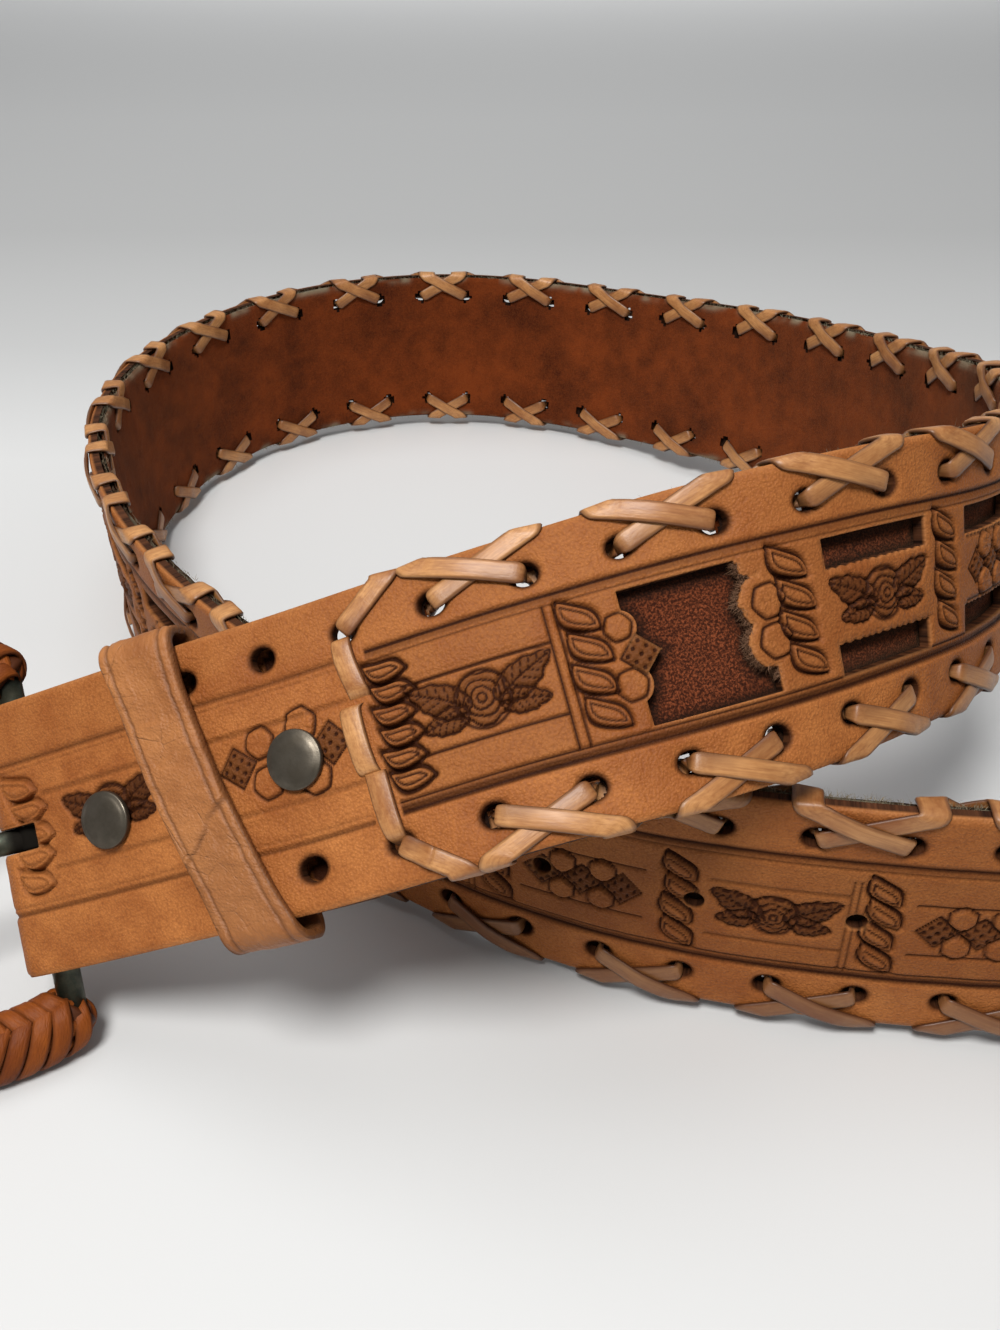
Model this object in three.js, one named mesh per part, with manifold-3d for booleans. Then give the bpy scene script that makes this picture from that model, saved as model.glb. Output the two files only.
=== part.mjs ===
import * as THREE from "three";
import { mergeVertices } from "three/addons/utils/BufferGeometryUtils.js";
import Module from "manifold-3d";

// A tooled western belt standing on its lower edge in a loop that crosses itself. Millimetres, +Z up.
// The strap is described along its own length: s runs from the buckle fold to the tip, w across the
// strap (up is +), n outwards from the outer face of the leather.

const beltWidth = 44.45; // 1 3/4 in strap
const strapLength = 965; // from the buckle fold to the tip
const leatherThickness = 2.4;
const liningThickness = 1.3;
const layerGap = 0.3; // clearance between neighbouring pieces
const stationPitch = 12.5; // length of one flat facet along the strap

// How the strap lies, by share of its length: heading in plan and outward lean of the face in degrees,
// lift of the lower edge above the floor as a share of the strap width.
const lie = [
  { at: 0, heading: -11.5, lean: 35, lift: 0.24 },
  { at: 0.05, heading: -7, lean: 41, lift: 0.74 },
  { at: 0.1, heading: 7.5, lean: 49, lift: 1.18 },
  { at: 0.15, heading: 29, lean: 29, lift: 1.16 },
  { at: 0.2, heading: 56, lean: 14, lift: 0.92 },
  { at: 0.25, heading: 84, lean: 5, lift: 0.69 },
  { at: 0.3, heading: 103.5, lean: -2, lift: 0.42 },
  { at: 0.36, heading: 124, lean: -9, lift: 0.19 },
  { at: 0.42, heading: 146.5, lean: -10, lift: 0.04 },
  { at: 0.49, heading: 188, lean: -7, lift: 0.04 },
  { at: 0.56, heading: 236, lean: -3, lift: 0.04 },
  { at: 0.63, heading: 274.5, lean: -5, lift: 0.04 },
  { at: 0.7, heading: 301, lean: -1, lift: 0.04 },
  { at: 0.78, heading: 323.5, lean: -2, lift: 0.04 },
  { at: 0.86, heading: 350, lean: 2, lift: 0.04 },
  { at: 1, heading: 370, lean: 2, lift: 0.04 },
];

// Turned end round the buckle bar.
const barRadius = 2.2;
const barPlace = 1.2; // bar axis along the strap
const foldCentre = -0.1; // centre of the leather's turn
const foldSteps = 6;
const tabRampStart = 3.6; // from here the turned-back tab closes in on the strap
const tabRampEnd = 14;
const tabLength = 62; // how far the tab reaches back
const prongSlotWidth = 7;
const prongSlotEnd = 5.8;

// Tip of the strap.
const tipTaper = [
  { back: 40, share: 1 },
  { back: 25, share: 0.95 },
  { back: 15, share: 0.84 },
  { back: 7, share: 0.65 },
  { back: 2, share: 0.42 },
  { back: 0, share: 0.24 },
];

// Lacing holes: both edges, odd and even holes in pairs that carry one cross each.
const laceHoleInset = 6.15; // hole centre from the strap edge
const laceHoleRadius = 1.6;
const lacePitch = 14.15;
const upperLaceStart = 67.6;
const upperLaceSlack = 14.2; // how much closer the holes are punched over the back half
const lowerLaceStart = 68.9;
const lowerLaceSlack = 19;
const slackFrom = 10;
const slackTo = 50;
const bareHoles = 2; // punched before the lacing starts
const lastLaceHole = 59;

const laceWidth = 3.3;
const laceThickness = 1;
const laceLift = 0.8; // gap between lace and leather
const laceLead = 1.4; // how far past its neighbour's hole a lace turns over the edge
const crossReach = 4.2; // half length of the place where one lace lies over the other

const liningStart = 71.5;
const liningEnd = 955;
const liningInset = 0.6;
const liningHoleRadius = 2;

// Cross lace that holds the start of the lining.
const crossLacePlace = 68;
const crossLaceCuts = [7.6, -4.2];
const crossCutHeight = 5.2;

// Pierced panels between the leaf columns: one whole window, then pairs of slots.
const panelPitch = 31.8;
const panelCount = 20;
const windowStart = 108.2;
const windowLength = 20.4;
const wholeWindowHeight = 19.4;
const slotHeight = 4.6;
const slotOffset = 7.8;

const adjustingHoles = 5;
const adjustingStart = 789.4;
const adjustingPitch = 25.4;
const adjustingRadius = 1.5;

// Keeper loop round the strap and its turned-back tab.
const keeperPlace = 37.7;
const keeperWidth = 12;
const keeperThickness = 1.8;
const keeperSkew = 15;
const keeperOverhang = 2; // play beyond the strap edges
const keeperPlay = 0.5; // play over the faces
const keeperCorner = 2.2;

const snapPlaces = [20.9, 56.1];
const snapRadius = 4.75;
const snapDome = 1.6;
const snapPostRadius = 1.2;
const snapHoleRadius = 1.6;

// Buckle: a bare heel bar, and a frame wholly covered by braided lacing.
const frameTurn = 44; // how far the buckle is swung outwards about its bar, so that it lies on the floor
const frameShift = -0.9; // the frame hangs a little below the middle of the strap
const frameHalfWidth = 5.75;
const frameHalfThickness = 4;
const frameHalfHeight = beltWidth / 2 + 8.8;
const frameReach = 42;
// Middle line of the frame from its end beside the bar to its far side, as shares of reach and half height.
const frameLine = [
  { reach: -0.031, height: 0.803, size: 0.8 },
  { reach: -0.01, height: 0.887, size: 0.9 },
  { reach: 0.071, height: 0.955, size: 0.95 },
  { reach: 0.214, height: 0.994, size: 1 },
  { reach: 0.405, height: 1, size: 1 },
  { reach: 0.643, height: 0.935, size: 1 },
  { reach: 0.845, height: 0.703, size: 1 },
  { reach: 0.964, height: 0.374, size: 1 },
  { reach: 1, height: 0, size: 1 },
].map(({ reach, height, size }) => ({ s: -reach * frameReach, w: height * frameHalfHeight, size }));
const frameSides = 10;
const barPocket = 6; // how deep the bar runs into the braid
const prongWidth = 4;
const prongThickness = 2.6;
const prongWall = 1.4;

const wasm = await Module();
wasm.setup();
const { Manifold, Mesh } = wasm;
const radians = THREE.MathUtils.degToRad;
const halfWidth = beltWidth / 2;
const smallest = 0.02; // shape steps below this are left out of the pierced leather

// Smooth value of one column of the table of how the strap lies.
function lieValue(name, share) {
  const last = lie.length - 1;
  let i = 0;
  while (i < last - 1 && share > lie[i + 1].at) i += 1;
  const slope = (k) => {
    const before = lie[Math.max(k - 1, 0)];
    const after = lie[Math.min(k + 1, last)];
    return (after[name] - before[name]) / (after.at - before.at);
  };
  const a = lie[i];
  const b = lie[i + 1];
  const span = b.at - a.at;
  const t = THREE.MathUtils.clamp((share - a.at) / span, 0, 1);
  const t2 = t * t;
  const t3 = t2 * t;
  return (
    a[name] * (2 * t3 - 3 * t2 + 1) +
    slope(i) * span * (t3 - 2 * t2 + t) +
    b[name] * (3 * t2 - 2 * t3) +
    slope(i + 1) * span * (t3 - t2)
  );
}

// Frames of the strap: centre of the outer face, direction along, across and outwards.
function strapFrames(count, stepsEach) {
  const step = strapLength / (count * stepsEach);
  const centreHeight = (s) => {
    const share = s / strapLength;
    return lieValue("lift", share) * beltWidth + halfWidth * Math.cos(radians(lieValue("lean", share)));
  };
  const frames = [];
  const place = new THREE.Vector3();
  let before = null;
  for (let i = 0; i <= count * stepsEach; i += 1) {
    const s = i * step;
    const share = s / strapLength;
    const heading = radians(lieValue("heading", share));
    const lean = radians(lieValue("lean", share));
    const rise = centreHeight(Math.min(s + step, strapLength)) - centreHeight(Math.max(s - step, 0));
    const climb = Math.asin(rise / (i === 0 || i === count * stepsEach ? step : 2 * step));
    const along = new THREE.Vector3(
      Math.cos(climb) * Math.cos(heading),
      Math.cos(climb) * Math.sin(heading),
      Math.sin(climb),
    );
    if (before) place.addScaledVector(before.clone().add(along), step / 2);
    place.z = centreHeight(s);
    before = along;
    if (i % stepsEach !== 0) continue;
    const upright = new THREE.Vector3(
      -Math.sin(climb) * Math.cos(heading),
      -Math.sin(climb) * Math.sin(heading),
      Math.cos(climb),
    );
    const inward = new THREE.Vector3().crossVectors(upright, along);
    const across = upright.multiplyScalar(Math.cos(lean)).addScaledVector(inward, Math.sin(lean));
    const out = new THREE.Vector3().crossVectors(along, across);
    frames.push({ s, centre: place.clone(), along: along.clone(), across, out });
  }
  return frames;
}

const facetCount = Math.round(strapLength / stationPitch);
const frames = strapFrames(facetCount, 8);

// Frame of the strap at s, straight between the facet corners and straight on beyond the ends.
function frameAt(s) {
  const span = strapLength / facetCount;
  const i = THREE.MathUtils.clamp(Math.floor(s / span), 0, facetCount - 1);
  const t = THREE.MathUtils.clamp((s - frames[i].s) / span, 0, 1);
  const mix = (name) => frames[i][name].clone().lerp(frames[i + 1][name], t);
  const along = mix("along").normalize();
  const beyond = Math.min(s, 0) + Math.max(s - strapLength, 0);
  return {
    centre: mix("centre").addScaledVector(along, beyond),
    along,
    across: mix("across"),
    out: mix("out"),
  };
}

function onStrap(s, w, n) {
  const frame = frameAt(s);
  return frame.centre.addScaledVector(frame.across, w).addScaledVector(frame.out, n);
}

// Rigid placement at s on the strap: x along, y across, z outwards.
function strapMatrix(s, w = 0, n = 0) {
  const frame = frameAt(s);
  const out = new THREE.Vector3().crossVectors(frame.along, frame.across).normalize();
  const across = new THREE.Vector3().crossVectors(out, frame.along);
  const matrix = new THREE.Matrix4().makeBasis(frame.along, across, out);
  return matrix.setPosition(onStrap(s, w, n));
}

// Closed solid of a three.js geometry, turned to face outwards.
function solidOf(geometry) {
  const bare = geometry.clone();
  bare.deleteAttribute("normal");
  bare.deleteAttribute("uv");
  const merged = mergeVertices(bare, 1e-4);
  const triangles = new Uint32Array(merged.index.array);
  const make = () =>
    new Manifold(
      new Mesh({ numProp: 3, vertProperties: new Float32Array(merged.attributes.position.array), triVerts: triangles }),
    );
  const first = make();
  if (first.volume() > 0) return first;
  for (let i = 0; i < triangles.length; i += 3) [triangles[i + 1], triangles[i + 2]] = [triangles[i + 2], triangles[i + 1]];
  return make();
}

function geometryOf(solid) {
  const mesh = solid.getMesh();
  const geometry = new THREE.BufferGeometry();
  const position = new Float32Array(mesh.numVert * 3);
  for (let i = 0; i < mesh.numVert; i += 1) {
    for (let k = 0; k < 3; k += 1) position[i * 3 + k] = mesh.vertProperties[i * mesh.numProp + k];
  }
  geometry.setAttribute("position", new THREE.BufferAttribute(position, 3));
  geometry.setIndex(new THREE.BufferAttribute(new Uint32Array(mesh.triVerts), 1));
  geometry.computeVertexNormals();
  return geometry;
}

// A bar of four-cornered sections: each section gives its corner for the signs (side, face).
// Both broad faces are split along the same diagonals, so that twisted sheets lie parallel.
function sectionBar(sections) {
  const box = new THREE.BoxGeometry(1, 1, 1, sections.length - 1, 1, 1);
  const position = box.attributes.position;
  const backFace = box.groups[5];
  const index = box.index.array;
  for (let i = backFace.start; i < backFace.start + backFace.count; i += 6) {
    const [a, b, , , c, d] = index.slice(i, i + 6);
    index.set([a, b, c, a, c, d], i);
  }
  for (let i = 0; i < position.count; i += 1) {
    const station = Math.round((position.getX(i) + 0.5) * (sections.length - 1));
    const corner = sections[station](position.getY(i) * 2, Math.sign(position.getZ(i)));
    position.setXYZ(i, corner.x, corner.y, corner.z);
  }
  return box;
}

// A leather sheet from stations that give its outer and inner face as (s, n), and its half width.
function sheet(stations) {
  const sections = stations.map((station) => (side, face) => {
    const [s, n] = face > 0 ? station.outer : station.inner;
    return onStrap(s, side * station.half, n);
  });
  return solidOf(sectionBar(sections));
}

function strapStations(start, end, inset, outer, inner) {
  const places = [start];
  if (start < liningStart) places.push(liningStart);
  const span = strapLength / facetCount;
  for (let i = 1; i <= facetCount; i += 1) {
    const s = i * span;
    if (s > start + 2 && s < end - tipTaper[0].back) places.push(s);
  }
  places.sort((a, b) => a - b);
  const taper = tipTaper.map(({ back, share }) => ({ s: end - back, share }));
  const row = (s, share) => ({ outer: [s, outer], inner: [s, inner], half: (halfWidth - inset) * share });
  return [...places.map((s) => row(s, 1)), ...taper.map(({ s, share }) => row(s, share))];
}

// A straight cutter through the strap: hole with the given number of sides, or a slot.
function holeCutter(s, w, radius, sides) {
  const geometry = new THREE.CylinderGeometry(radius, radius, 18, sides);
  geometry.rotateX(Math.PI / 2).applyMatrix4(strapMatrix(s, w, -3));
  return solidOf(geometry);
}

function slotCutter(s, w, length, height, depth = 18) {
  const geometry = new THREE.BoxGeometry(length, height, depth);
  geometry.applyMatrix4(strapMatrix(s, w, -3));
  return solidOf(geometry);
}

function laceHole(start, slack, k) {
  const ease = THREE.MathUtils.clamp((k - slackFrom) / (slackTo - slackFrom), 0, 1);
  return start + lacePitch * k - slack * ease;
}
const edges = [
  { name: "upper", sign: 1, hole: (k) => laceHole(upperLaceStart, upperLaceSlack, k) },
  { name: "lower", sign: -1, hole: (k) => laceHole(lowerLaceStart, lowerLaceSlack, k) },
];
const holeAcross = halfWidth - laceHoleInset;

// Tooled strap with its turned end.
const turnRadius = barRadius + layerGap + leatherThickness;
const barDepth = -turnRadius;
const tabOuter = -leatherThickness - layerGap;
const foldStations = [];
for (const s of [tabLength, 50.1, 37.6, 25.1, tabRampEnd]) {
  foldStations.push({ outer: [s, tabOuter - leatherThickness], inner: [s, tabOuter], half: halfWidth });
}
foldStations.push({
  outer: [tabRampStart, barDepth - turnRadius],
  inner: [tabRampStart, barDepth - turnRadius + leatherThickness],
  half: halfWidth,
});
for (let i = 0; i <= foldSteps; i += 1) {
  const angle = -Math.PI / 2 - (Math.PI * i) / foldSteps;
  const at = (radius) => [foldCentre + radius * Math.cos(angle), barDepth + radius * Math.sin(angle)];
  foldStations.push({ outer: at(turnRadius), inner: at(turnRadius - leatherThickness), half: halfWidth });
}
const strapBody = sheet([...foldStations, ...strapStations(11, strapLength, 0, 0, -leatherThickness)]);

const strapCuts = [];
for (const edge of edges) {
  for (let k = -bareHoles; k <= lastLaceHole; k += 1) {
    strapCuts.push(holeCutter(edge.hole(k), edge.sign * holeAcross, laceHoleRadius, 6));
  }
}
for (let k = 0; k < panelCount; k += 1) {
  const middle = windowStart + k * panelPitch + windowLength / 2;
  if (k === 0) strapCuts.push(slotCutter(middle, 0, windowLength, wholeWindowHeight));
  else for (const side of [1, -1]) strapCuts.push(slotCutter(middle, side * slotOffset, windowLength, slotHeight));
}
for (let k = 0; k < adjustingHoles; k += 1) {
  strapCuts.push(holeCutter(adjustingStart + k * adjustingPitch, 0, adjustingRadius, 6));
}
for (const s of snapPlaces) strapCuts.push(holeCutter(s, 0, snapHoleRadius, 8));
strapCuts.push(slotCutter(prongSlotEnd - 8, 0, 16, prongSlotWidth, 30));

// The cross lace dips into two short cuts.
for (const w of crossLaceCuts) strapCuts.push(slotCutter(crossLacePlace, w, laceWidth + 1, crossCutHeight));
const strap = strapBody.subtract(Manifold.union(strapCuts)).asOriginal().simplify(smallest);

// Suede lining on the inner side, from the lacing start to the tip.
const liningOuter = -leatherThickness - layerGap;
const liningInner = liningOuter - liningThickness;
const liningCuts = [];
for (const edge of edges) {
  for (let k = 1; k <= lastLaceHole; k += 1) {
    liningCuts.push(holeCutter(edge.hole(k), edge.sign * holeAcross, liningHoleRadius, 4));
  }
}
for (let k = 0; k < adjustingHoles; k += 1) {
  liningCuts.push(holeCutter(adjustingStart + k * adjustingPitch, 0, adjustingRadius, 6));
}
const liningBody = sheet(strapStations(liningStart, liningEnd, liningInset, liningOuter, liningInner));
const lining = liningBody.subtract(Manifold.union(liningCuts)).asOriginal().simplify(smallest);

// Edge lacing: a flat lace that runs hole, over the edge, hole, in the strap's own directions.
const frontLevel = laceLift + laceThickness / 2;
const backLevel = liningInner - laceLift - laceThickness / 2;
const edgeLevel = halfWidth + laceLift + laceThickness / 2;

// Section of a lace: place, half width vector and outward vectors before and after its bend, as (s, w, n).
function laceSection(sign, place, wide, outA, outB) {
  const bend = new THREE.Vector3(...outA).add(new THREE.Vector3(...outB));
  const even = 1 + new THREE.Vector3(...outA).dot(new THREE.Vector3(...outB));
  bend.multiplyScalar(laceThickness / 2 / even);
  return (side, face) => {
    const s = place[0] + side * wide[0] + face * bend.x;
    const w = place[1] + side * wide[1] + face * bend.y;
    const n = place[2] + side * wide[2] + face * bend.z;
    return onStrap(s, sign * w, n);
  };
}

const holeHalf = 1.1; // half width of a lace where it passes a hole
const foldHalf = 3.9; // half length of its slanting fold over the edge
function laceStations(edge, kind) {
  const { sign, hole } = edge;
  const sections = [];
  const add = (place, wide, outA, outB) => sections.push(laceSection(sign, place, wide, outA, outB));
  const forward = kind === "forward";
  const first = forward ? 1 : 0;
  const last = forward ? lastLaceHole : lastLaceHole - 1;
  const faceUp = forward ? 1 : -1; // the side on which a lace climbs from its hole to the edge
  const levelOf = (face) => (face > 0 ? frontLevel : backLevel);
  const crossing = forward ? 0 : laceThickness + 2 * layerGap;
  const rise = edgeLevel - holeAcross;
  for (let k = first; k < last; k += 2) {
    const start = hole(k);
    const end = hole(k + 2);
    const turn = forward ? hole(k + 1) + laceLead : hole(k + 1) - laceLead;
    for (const half of [0, 1]) {
      const face = half === 0 ? faceUp : -faceUp;
      const run = half === 0 ? turn - start : end - turn;
      const length = Math.hypot(run, rise);
      const d = [run / length, ((half === 0 ? 1 : -1) * rise) / length, 0];
      const out = [0, 0, face];
      const wide = [d[1] * face, -d[0] * face, 0];
      const scaled = (amount) => wide.map((v) => v * amount);
      const edgeWide = [Math.sign(wide[0]) * foldHalf, 0, 0];
      const level = levelOf(face);
      const holePlace = [half === 0 ? start : end, holeAcross, level];
      const edgePlace = [turn, edgeLevel, level];
      const holeBend = half === 0 ? [-d[0], -d[1], 0] : [d[0], d[1], 0];
      const crossAt = half === 0 ? (hole(k) + hole(k + 1)) / 2 : (hole(k + 1) + hole(k + 2)) / 2;
      const crossPart = half === 0 ? (crossAt - start) / run : (crossAt - turn) / run;
      const raised = (offset) => {
        const t = crossPart + offset / length;
        const from = half === 0 ? holePlace : edgePlace;
        const to = half === 0 ? edgePlace : holePlace;
        return [from[0] + (to[0] - from[0]) * t, from[1] + (to[1] - from[1]) * t, level + face * crossing];
      };
      if (half === 0 && k === first && forward) add([start, holeAcross, -leatherThickness / 2], scaled(holeHalf), holeBend, holeBend);
      if (half === 0) add(holePlace, scaled(holeHalf), holeBend, out);
      if (half === 1) add(edgePlace, edgeWide, [0, 1, 0], out);
      if (forward) add(raised(0), scaled(laceWidth / 2), out, out);
      else for (const reach of [-crossReach, crossReach]) add(raised(reach), scaled(laceWidth / 2), out, out);
      if (half === 0) add(edgePlace, edgeWide, out, [0, 1, 0]);
      if (half === 1) add(holePlace, scaled(holeHalf), out, holeBend);
    }
  }
  return sections;
}

// Cross lace from the first upper hole to the first lower one: three runs with a dip between them.
const flat = [0, 0, 1];
const crossSections = [];
const addCross = (s, w, n, half) => crossSections.push(laceSection(1, [s, w, n], [half, 0, 0], flat, flat));
const dipLevel = -leatherThickness / 2;
addCross(upperLaceStart, holeAcross + 0.4, dipLevel, holeHalf);
addCross(upperLaceStart, holeAcross - 1.2, frontLevel, holeHalf);
addCross(crossLacePlace, holeAcross - 3.5, frontLevel, laceWidth / 2);
for (const w of crossLaceCuts) {
  addCross(crossLacePlace, w + 1.9, frontLevel, laceWidth / 2);
  addCross(crossLacePlace, w + 0.5, dipLevel, laceWidth / 2);
  addCross(crossLacePlace, w - 0.5, dipLevel, laceWidth / 2);
  addCross(crossLacePlace, w - 1.9, frontLevel, laceWidth / 2);
}
addCross(crossLacePlace, -holeAcross + 3.5, frontLevel, laceWidth / 2);
addCross(lowerLaceStart, -holeAcross + 1.2, frontLevel, holeHalf);
addCross(lowerLaceStart, -holeAcross - 0.4, dipLevel, holeHalf);
const crossLace = solidOf(sectionBar(crossSections));

// Keeper: a skewed leather loop with rounded corners round both layers of the strap.
const keeperInnerHalf = halfWidth + keeperOverhang;
const keeperInnerFront = keeperPlay;
const keeperInnerBack = tabOuter - leatherThickness - keeperPlay;
function keeperLine(grow) {
  const points = [];
  const top = keeperInnerFront + grow;
  const bottom = keeperInnerBack - grow;
  const half = keeperInnerHalf + grow;
  const radius = keeperCorner + grow * 0.6;
  const corners = [
    [half - radius, top - radius, 0],
    [-half + radius, top - radius, 90],
    [-half + radius, bottom + radius, 180],
    [half - radius, bottom + radius, 270],
  ];
  for (const [w, n, turn] of corners) {
    for (const step of [0, 45, 90]) {
      const angle = radians(turn + step);
      points.push([w + radius * Math.cos(angle), n + radius * Math.sin(angle)]);
    }
  }
  return points;
}
const keeperLines = { inner: keeperLine(0), outer: keeperLine(keeperThickness) };
const keeperCount = keeperLines.inner.length;
const keeperGeometry = new THREE.TorusGeometry(2, 1, 4, keeperCount);
{
  const position = keeperGeometry.attributes.position;
  const row = keeperCount + 1;
  for (let i = 0; i < position.count; i += 1) {
    const corner = Math.floor(i / row) % 4;
    const [w, n] = keeperLines[corner < 2 ? "outer" : "inner"][(i % row) % keeperCount];
    const side = corner === 0 || corner === 3 ? 1 : -1;
    const s = keeperPlace + (side * keeperWidth) / 2 - w * Math.tan(radians(keeperSkew));
    const place = onStrap(s, w, n);
    position.setXYZ(i, place.x, place.y, place.z);
  }
}
const keeper = solidOf(keeperGeometry);

// Snap: domed cap, post through both layers and a flat ring behind.
const snapBack = tabOuter - leatherThickness - layerGap;
const snapProfile = [
  [0, snapBack - 1],
  [3.6, snapBack - 1],
  [3.6, snapBack],
  [snapPostRadius, snapBack],
  [snapPostRadius, layerGap],
  [snapRadius, layerGap],
  [snapRadius, layerGap + 0.6],
  [snapRadius * 0.82, layerGap + snapDome * 0.85],
  [snapRadius * 0.5, layerGap + snapDome],
  [0, layerGap + snapDome],
].map(([r, n]) => new THREE.Vector2(r, n));
function snapAt(s) {
  const geometry = new THREE.LatheGeometry(snapProfile, 14);
  geometry.rotateX(Math.PI / 2).applyMatrix4(strapMatrix(s));
  return solidOf(geometry);
}

// The buckle's own directions: origin on the bar, y along the bar, -x towards the far side of the frame.
const buckleMatrix = strapMatrix(0)
  .multiply(new THREE.Matrix4().makeTranslation(barPlace, 0, barDepth))
  .multiply(new THREE.Matrix4().makeRotationY(radians(frameTurn)));

// Buckle frame: a closed horseshoe of braided lacing with its two ends beside the strap's corners.
const frameStations = [
  ...frameLine.map((row) => ({ ...row })),
  ...frameLine.slice(0, -1).reverse().map((row) => ({ ...row, w: -row.w })),
];
const frameBody = new THREE.CylinderGeometry(1, 1, 1, frameSides, frameStations.length - 1);
{
  const position = frameBody.attributes.position;
  const last = frameStations.length - 1;
  for (let i = 0; i < position.count; i += 1) {
    const index = Math.round((0.5 - position.getY(i)) * last);
    const here = frameStations[index];
    const a = frameStations[Math.max(index - 1, 0)];
    const b = frameStations[Math.min(index + 1, last)];
    const run = new THREE.Vector2(b.s - a.s, b.w - a.w).normalize();
    if (index === 0 || index === last) run.set(0, -1);
    const side = position.getX(i) * frameHalfWidth * here.size;
    const face = position.getZ(i) * frameHalfThickness * here.size;
    const place = new THREE.Vector3(here.s - run.y * side, here.w + run.x * side + frameShift, face);
    place.applyMatrix4(buckleMatrix);
    position.setXYZ(i, place.x, place.y, place.z);
  }
}
function alongBar(radius, from, to, sides) {
  const geometry = new THREE.CylinderGeometry(radius, radius, to - from, sides);
  geometry.translate(0, (from + to) / 2, 0).applyMatrix4(buckleMatrix);
  return solidOf(geometry);
}
const barTop = frameLine[0].w + frameShift + barPocket;
const barBottom = -frameLine[0].w + frameShift - barPocket;
const bar = alongBar(barRadius, barBottom, barTop, 12);
const pocketEnd = layerGap;
const barRoom = alongBar(barRadius + layerGap, barBottom - pocketEnd, barTop + pocketEnd, 12);
const braid = solidOf(frameBody).subtract(barRoom);

// Prong: an eye round the bar and a bowed tongue that lies on the far side of the frame.
const eyeInner = barRadius + layerGap;
const eyeOuter = eyeInner + prongWall;
const tongueTipLevel = frameHalfThickness + layerGap;
const prongShape = new THREE.Shape();
const tongueTop = [
  [-eyeOuter - 4, 1.4],
  [-16, 3.4],
  [-30, tongueTipLevel + prongThickness],
  [-44, tongueTipLevel + prongThickness],
  [-47, tongueTipLevel + 1.4],
];
const tongueBottom = [
  [-46, tongueTipLevel],
  [-32, tongueTipLevel],
  [-17, 0.8],
  [-eyeOuter - 4, -1.3],
];
const eyeMeet = Math.asin(1.3 / eyeOuter);
prongShape.absarc(0, 0, eyeOuter, -Math.PI + eyeMeet, Math.PI - eyeMeet, false);
for (const [x, y] of [...tongueTop, ...tongueBottom]) prongShape.lineTo(x, y);
prongShape.closePath();
const eyeHole = new THREE.Path();
eyeHole.absarc(0, 0, eyeInner, 0, Math.PI * 2, true);
prongShape.holes.push(eyeHole);
const prongGeometry = new THREE.ExtrudeGeometry(prongShape, {
  depth: prongWidth,
  bevelEnabled: false,
  curveSegments: 8,
});
prongGeometry.translate(0, 0, -prongWidth / 2).rotateX(Math.PI / 2);
prongGeometry.applyMatrix4(buckleMatrix);
const prong = solidOf(prongGeometry);

const leatherTan = { color: 0xb9713a, roughness: 0.62, metalness: 0 };
const laceTan = { color: 0xd59a55, roughness: 0.5, metalness: 0 };
const darkNickel = { color: 0x4b483f, roughness: 0.38, metalness: 0.9 };
const parts = [
  ["tooled_strap", strap, leatherTan],
  ["suede_lining", lining, { color: 0x7a3d1c, roughness: 0.95, metalness: 0 }],
  ["keeper_loop", keeper, { color: 0xc98a4f, roughness: 0.6, metalness: 0 }],
  ["cross_lace", crossLace, laceTan],
  ["snap_cap_left", snapAt(snapPlaces[0]), darkNickel],
  ["snap_cap_right", snapAt(snapPlaces[1]), darkNickel],
  ["braided_frame", braid, { color: 0xb4662a, roughness: 0.55, metalness: 0 }],
  ["buckle_bar", bar, darkNickel],
  ["buckle_prong", prong, darkNickel],
];
for (const edge of edges) {
  for (const kind of ["forward", "return"]) {
    parts.push([`${edge.name}_lace_${kind}`, solidOf(sectionBar(laceStations(edge, kind))), laceTan]);
  }
}

const group = new THREE.Group();
group.name = "tooled_belt";
for (const [name, body, look] of parts) {
  const mesh = new THREE.Mesh(geometryOf(body), new THREE.MeshStandardMaterial(look));
  mesh.name = name;
  group.add(mesh);
}

// Stand the belt on z = 0, centred over the origin.
const bounds = new THREE.Box3().setFromObject(group);
const middle = bounds.getCenter(new THREE.Vector3());
for (const mesh of group.children) mesh.geometry.translate(-middle.x, -middle.y, -bounds.min.z);

export default group;
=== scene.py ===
import math

import bpy
import numpy as np
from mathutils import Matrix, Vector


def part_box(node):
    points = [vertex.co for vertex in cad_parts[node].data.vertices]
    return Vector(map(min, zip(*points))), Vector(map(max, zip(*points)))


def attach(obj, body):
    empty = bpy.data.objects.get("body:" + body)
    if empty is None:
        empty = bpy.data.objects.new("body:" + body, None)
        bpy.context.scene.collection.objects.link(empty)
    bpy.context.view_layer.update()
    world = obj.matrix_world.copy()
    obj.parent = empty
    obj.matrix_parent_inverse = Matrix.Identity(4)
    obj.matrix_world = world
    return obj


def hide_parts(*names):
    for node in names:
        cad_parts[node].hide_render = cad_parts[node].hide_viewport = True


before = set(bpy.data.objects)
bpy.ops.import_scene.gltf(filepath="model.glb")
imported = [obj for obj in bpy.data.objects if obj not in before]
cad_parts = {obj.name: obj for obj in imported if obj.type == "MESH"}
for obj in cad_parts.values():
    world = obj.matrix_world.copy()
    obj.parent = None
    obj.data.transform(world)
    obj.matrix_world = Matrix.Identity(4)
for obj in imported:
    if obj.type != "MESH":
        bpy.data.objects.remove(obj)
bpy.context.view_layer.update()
mm = 0.001

# The strap is described along its own length, in millimetres: s from the buckle fold to the tip,
# w across the strap (up is +), n outwards from the leather's outer face.
beltWidth = 44.45
strapLength = 965
leather = 2.4  # thickness of the tooled leather
lining = 1.3
gap = 0.3
half = beltWidth / 2

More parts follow.
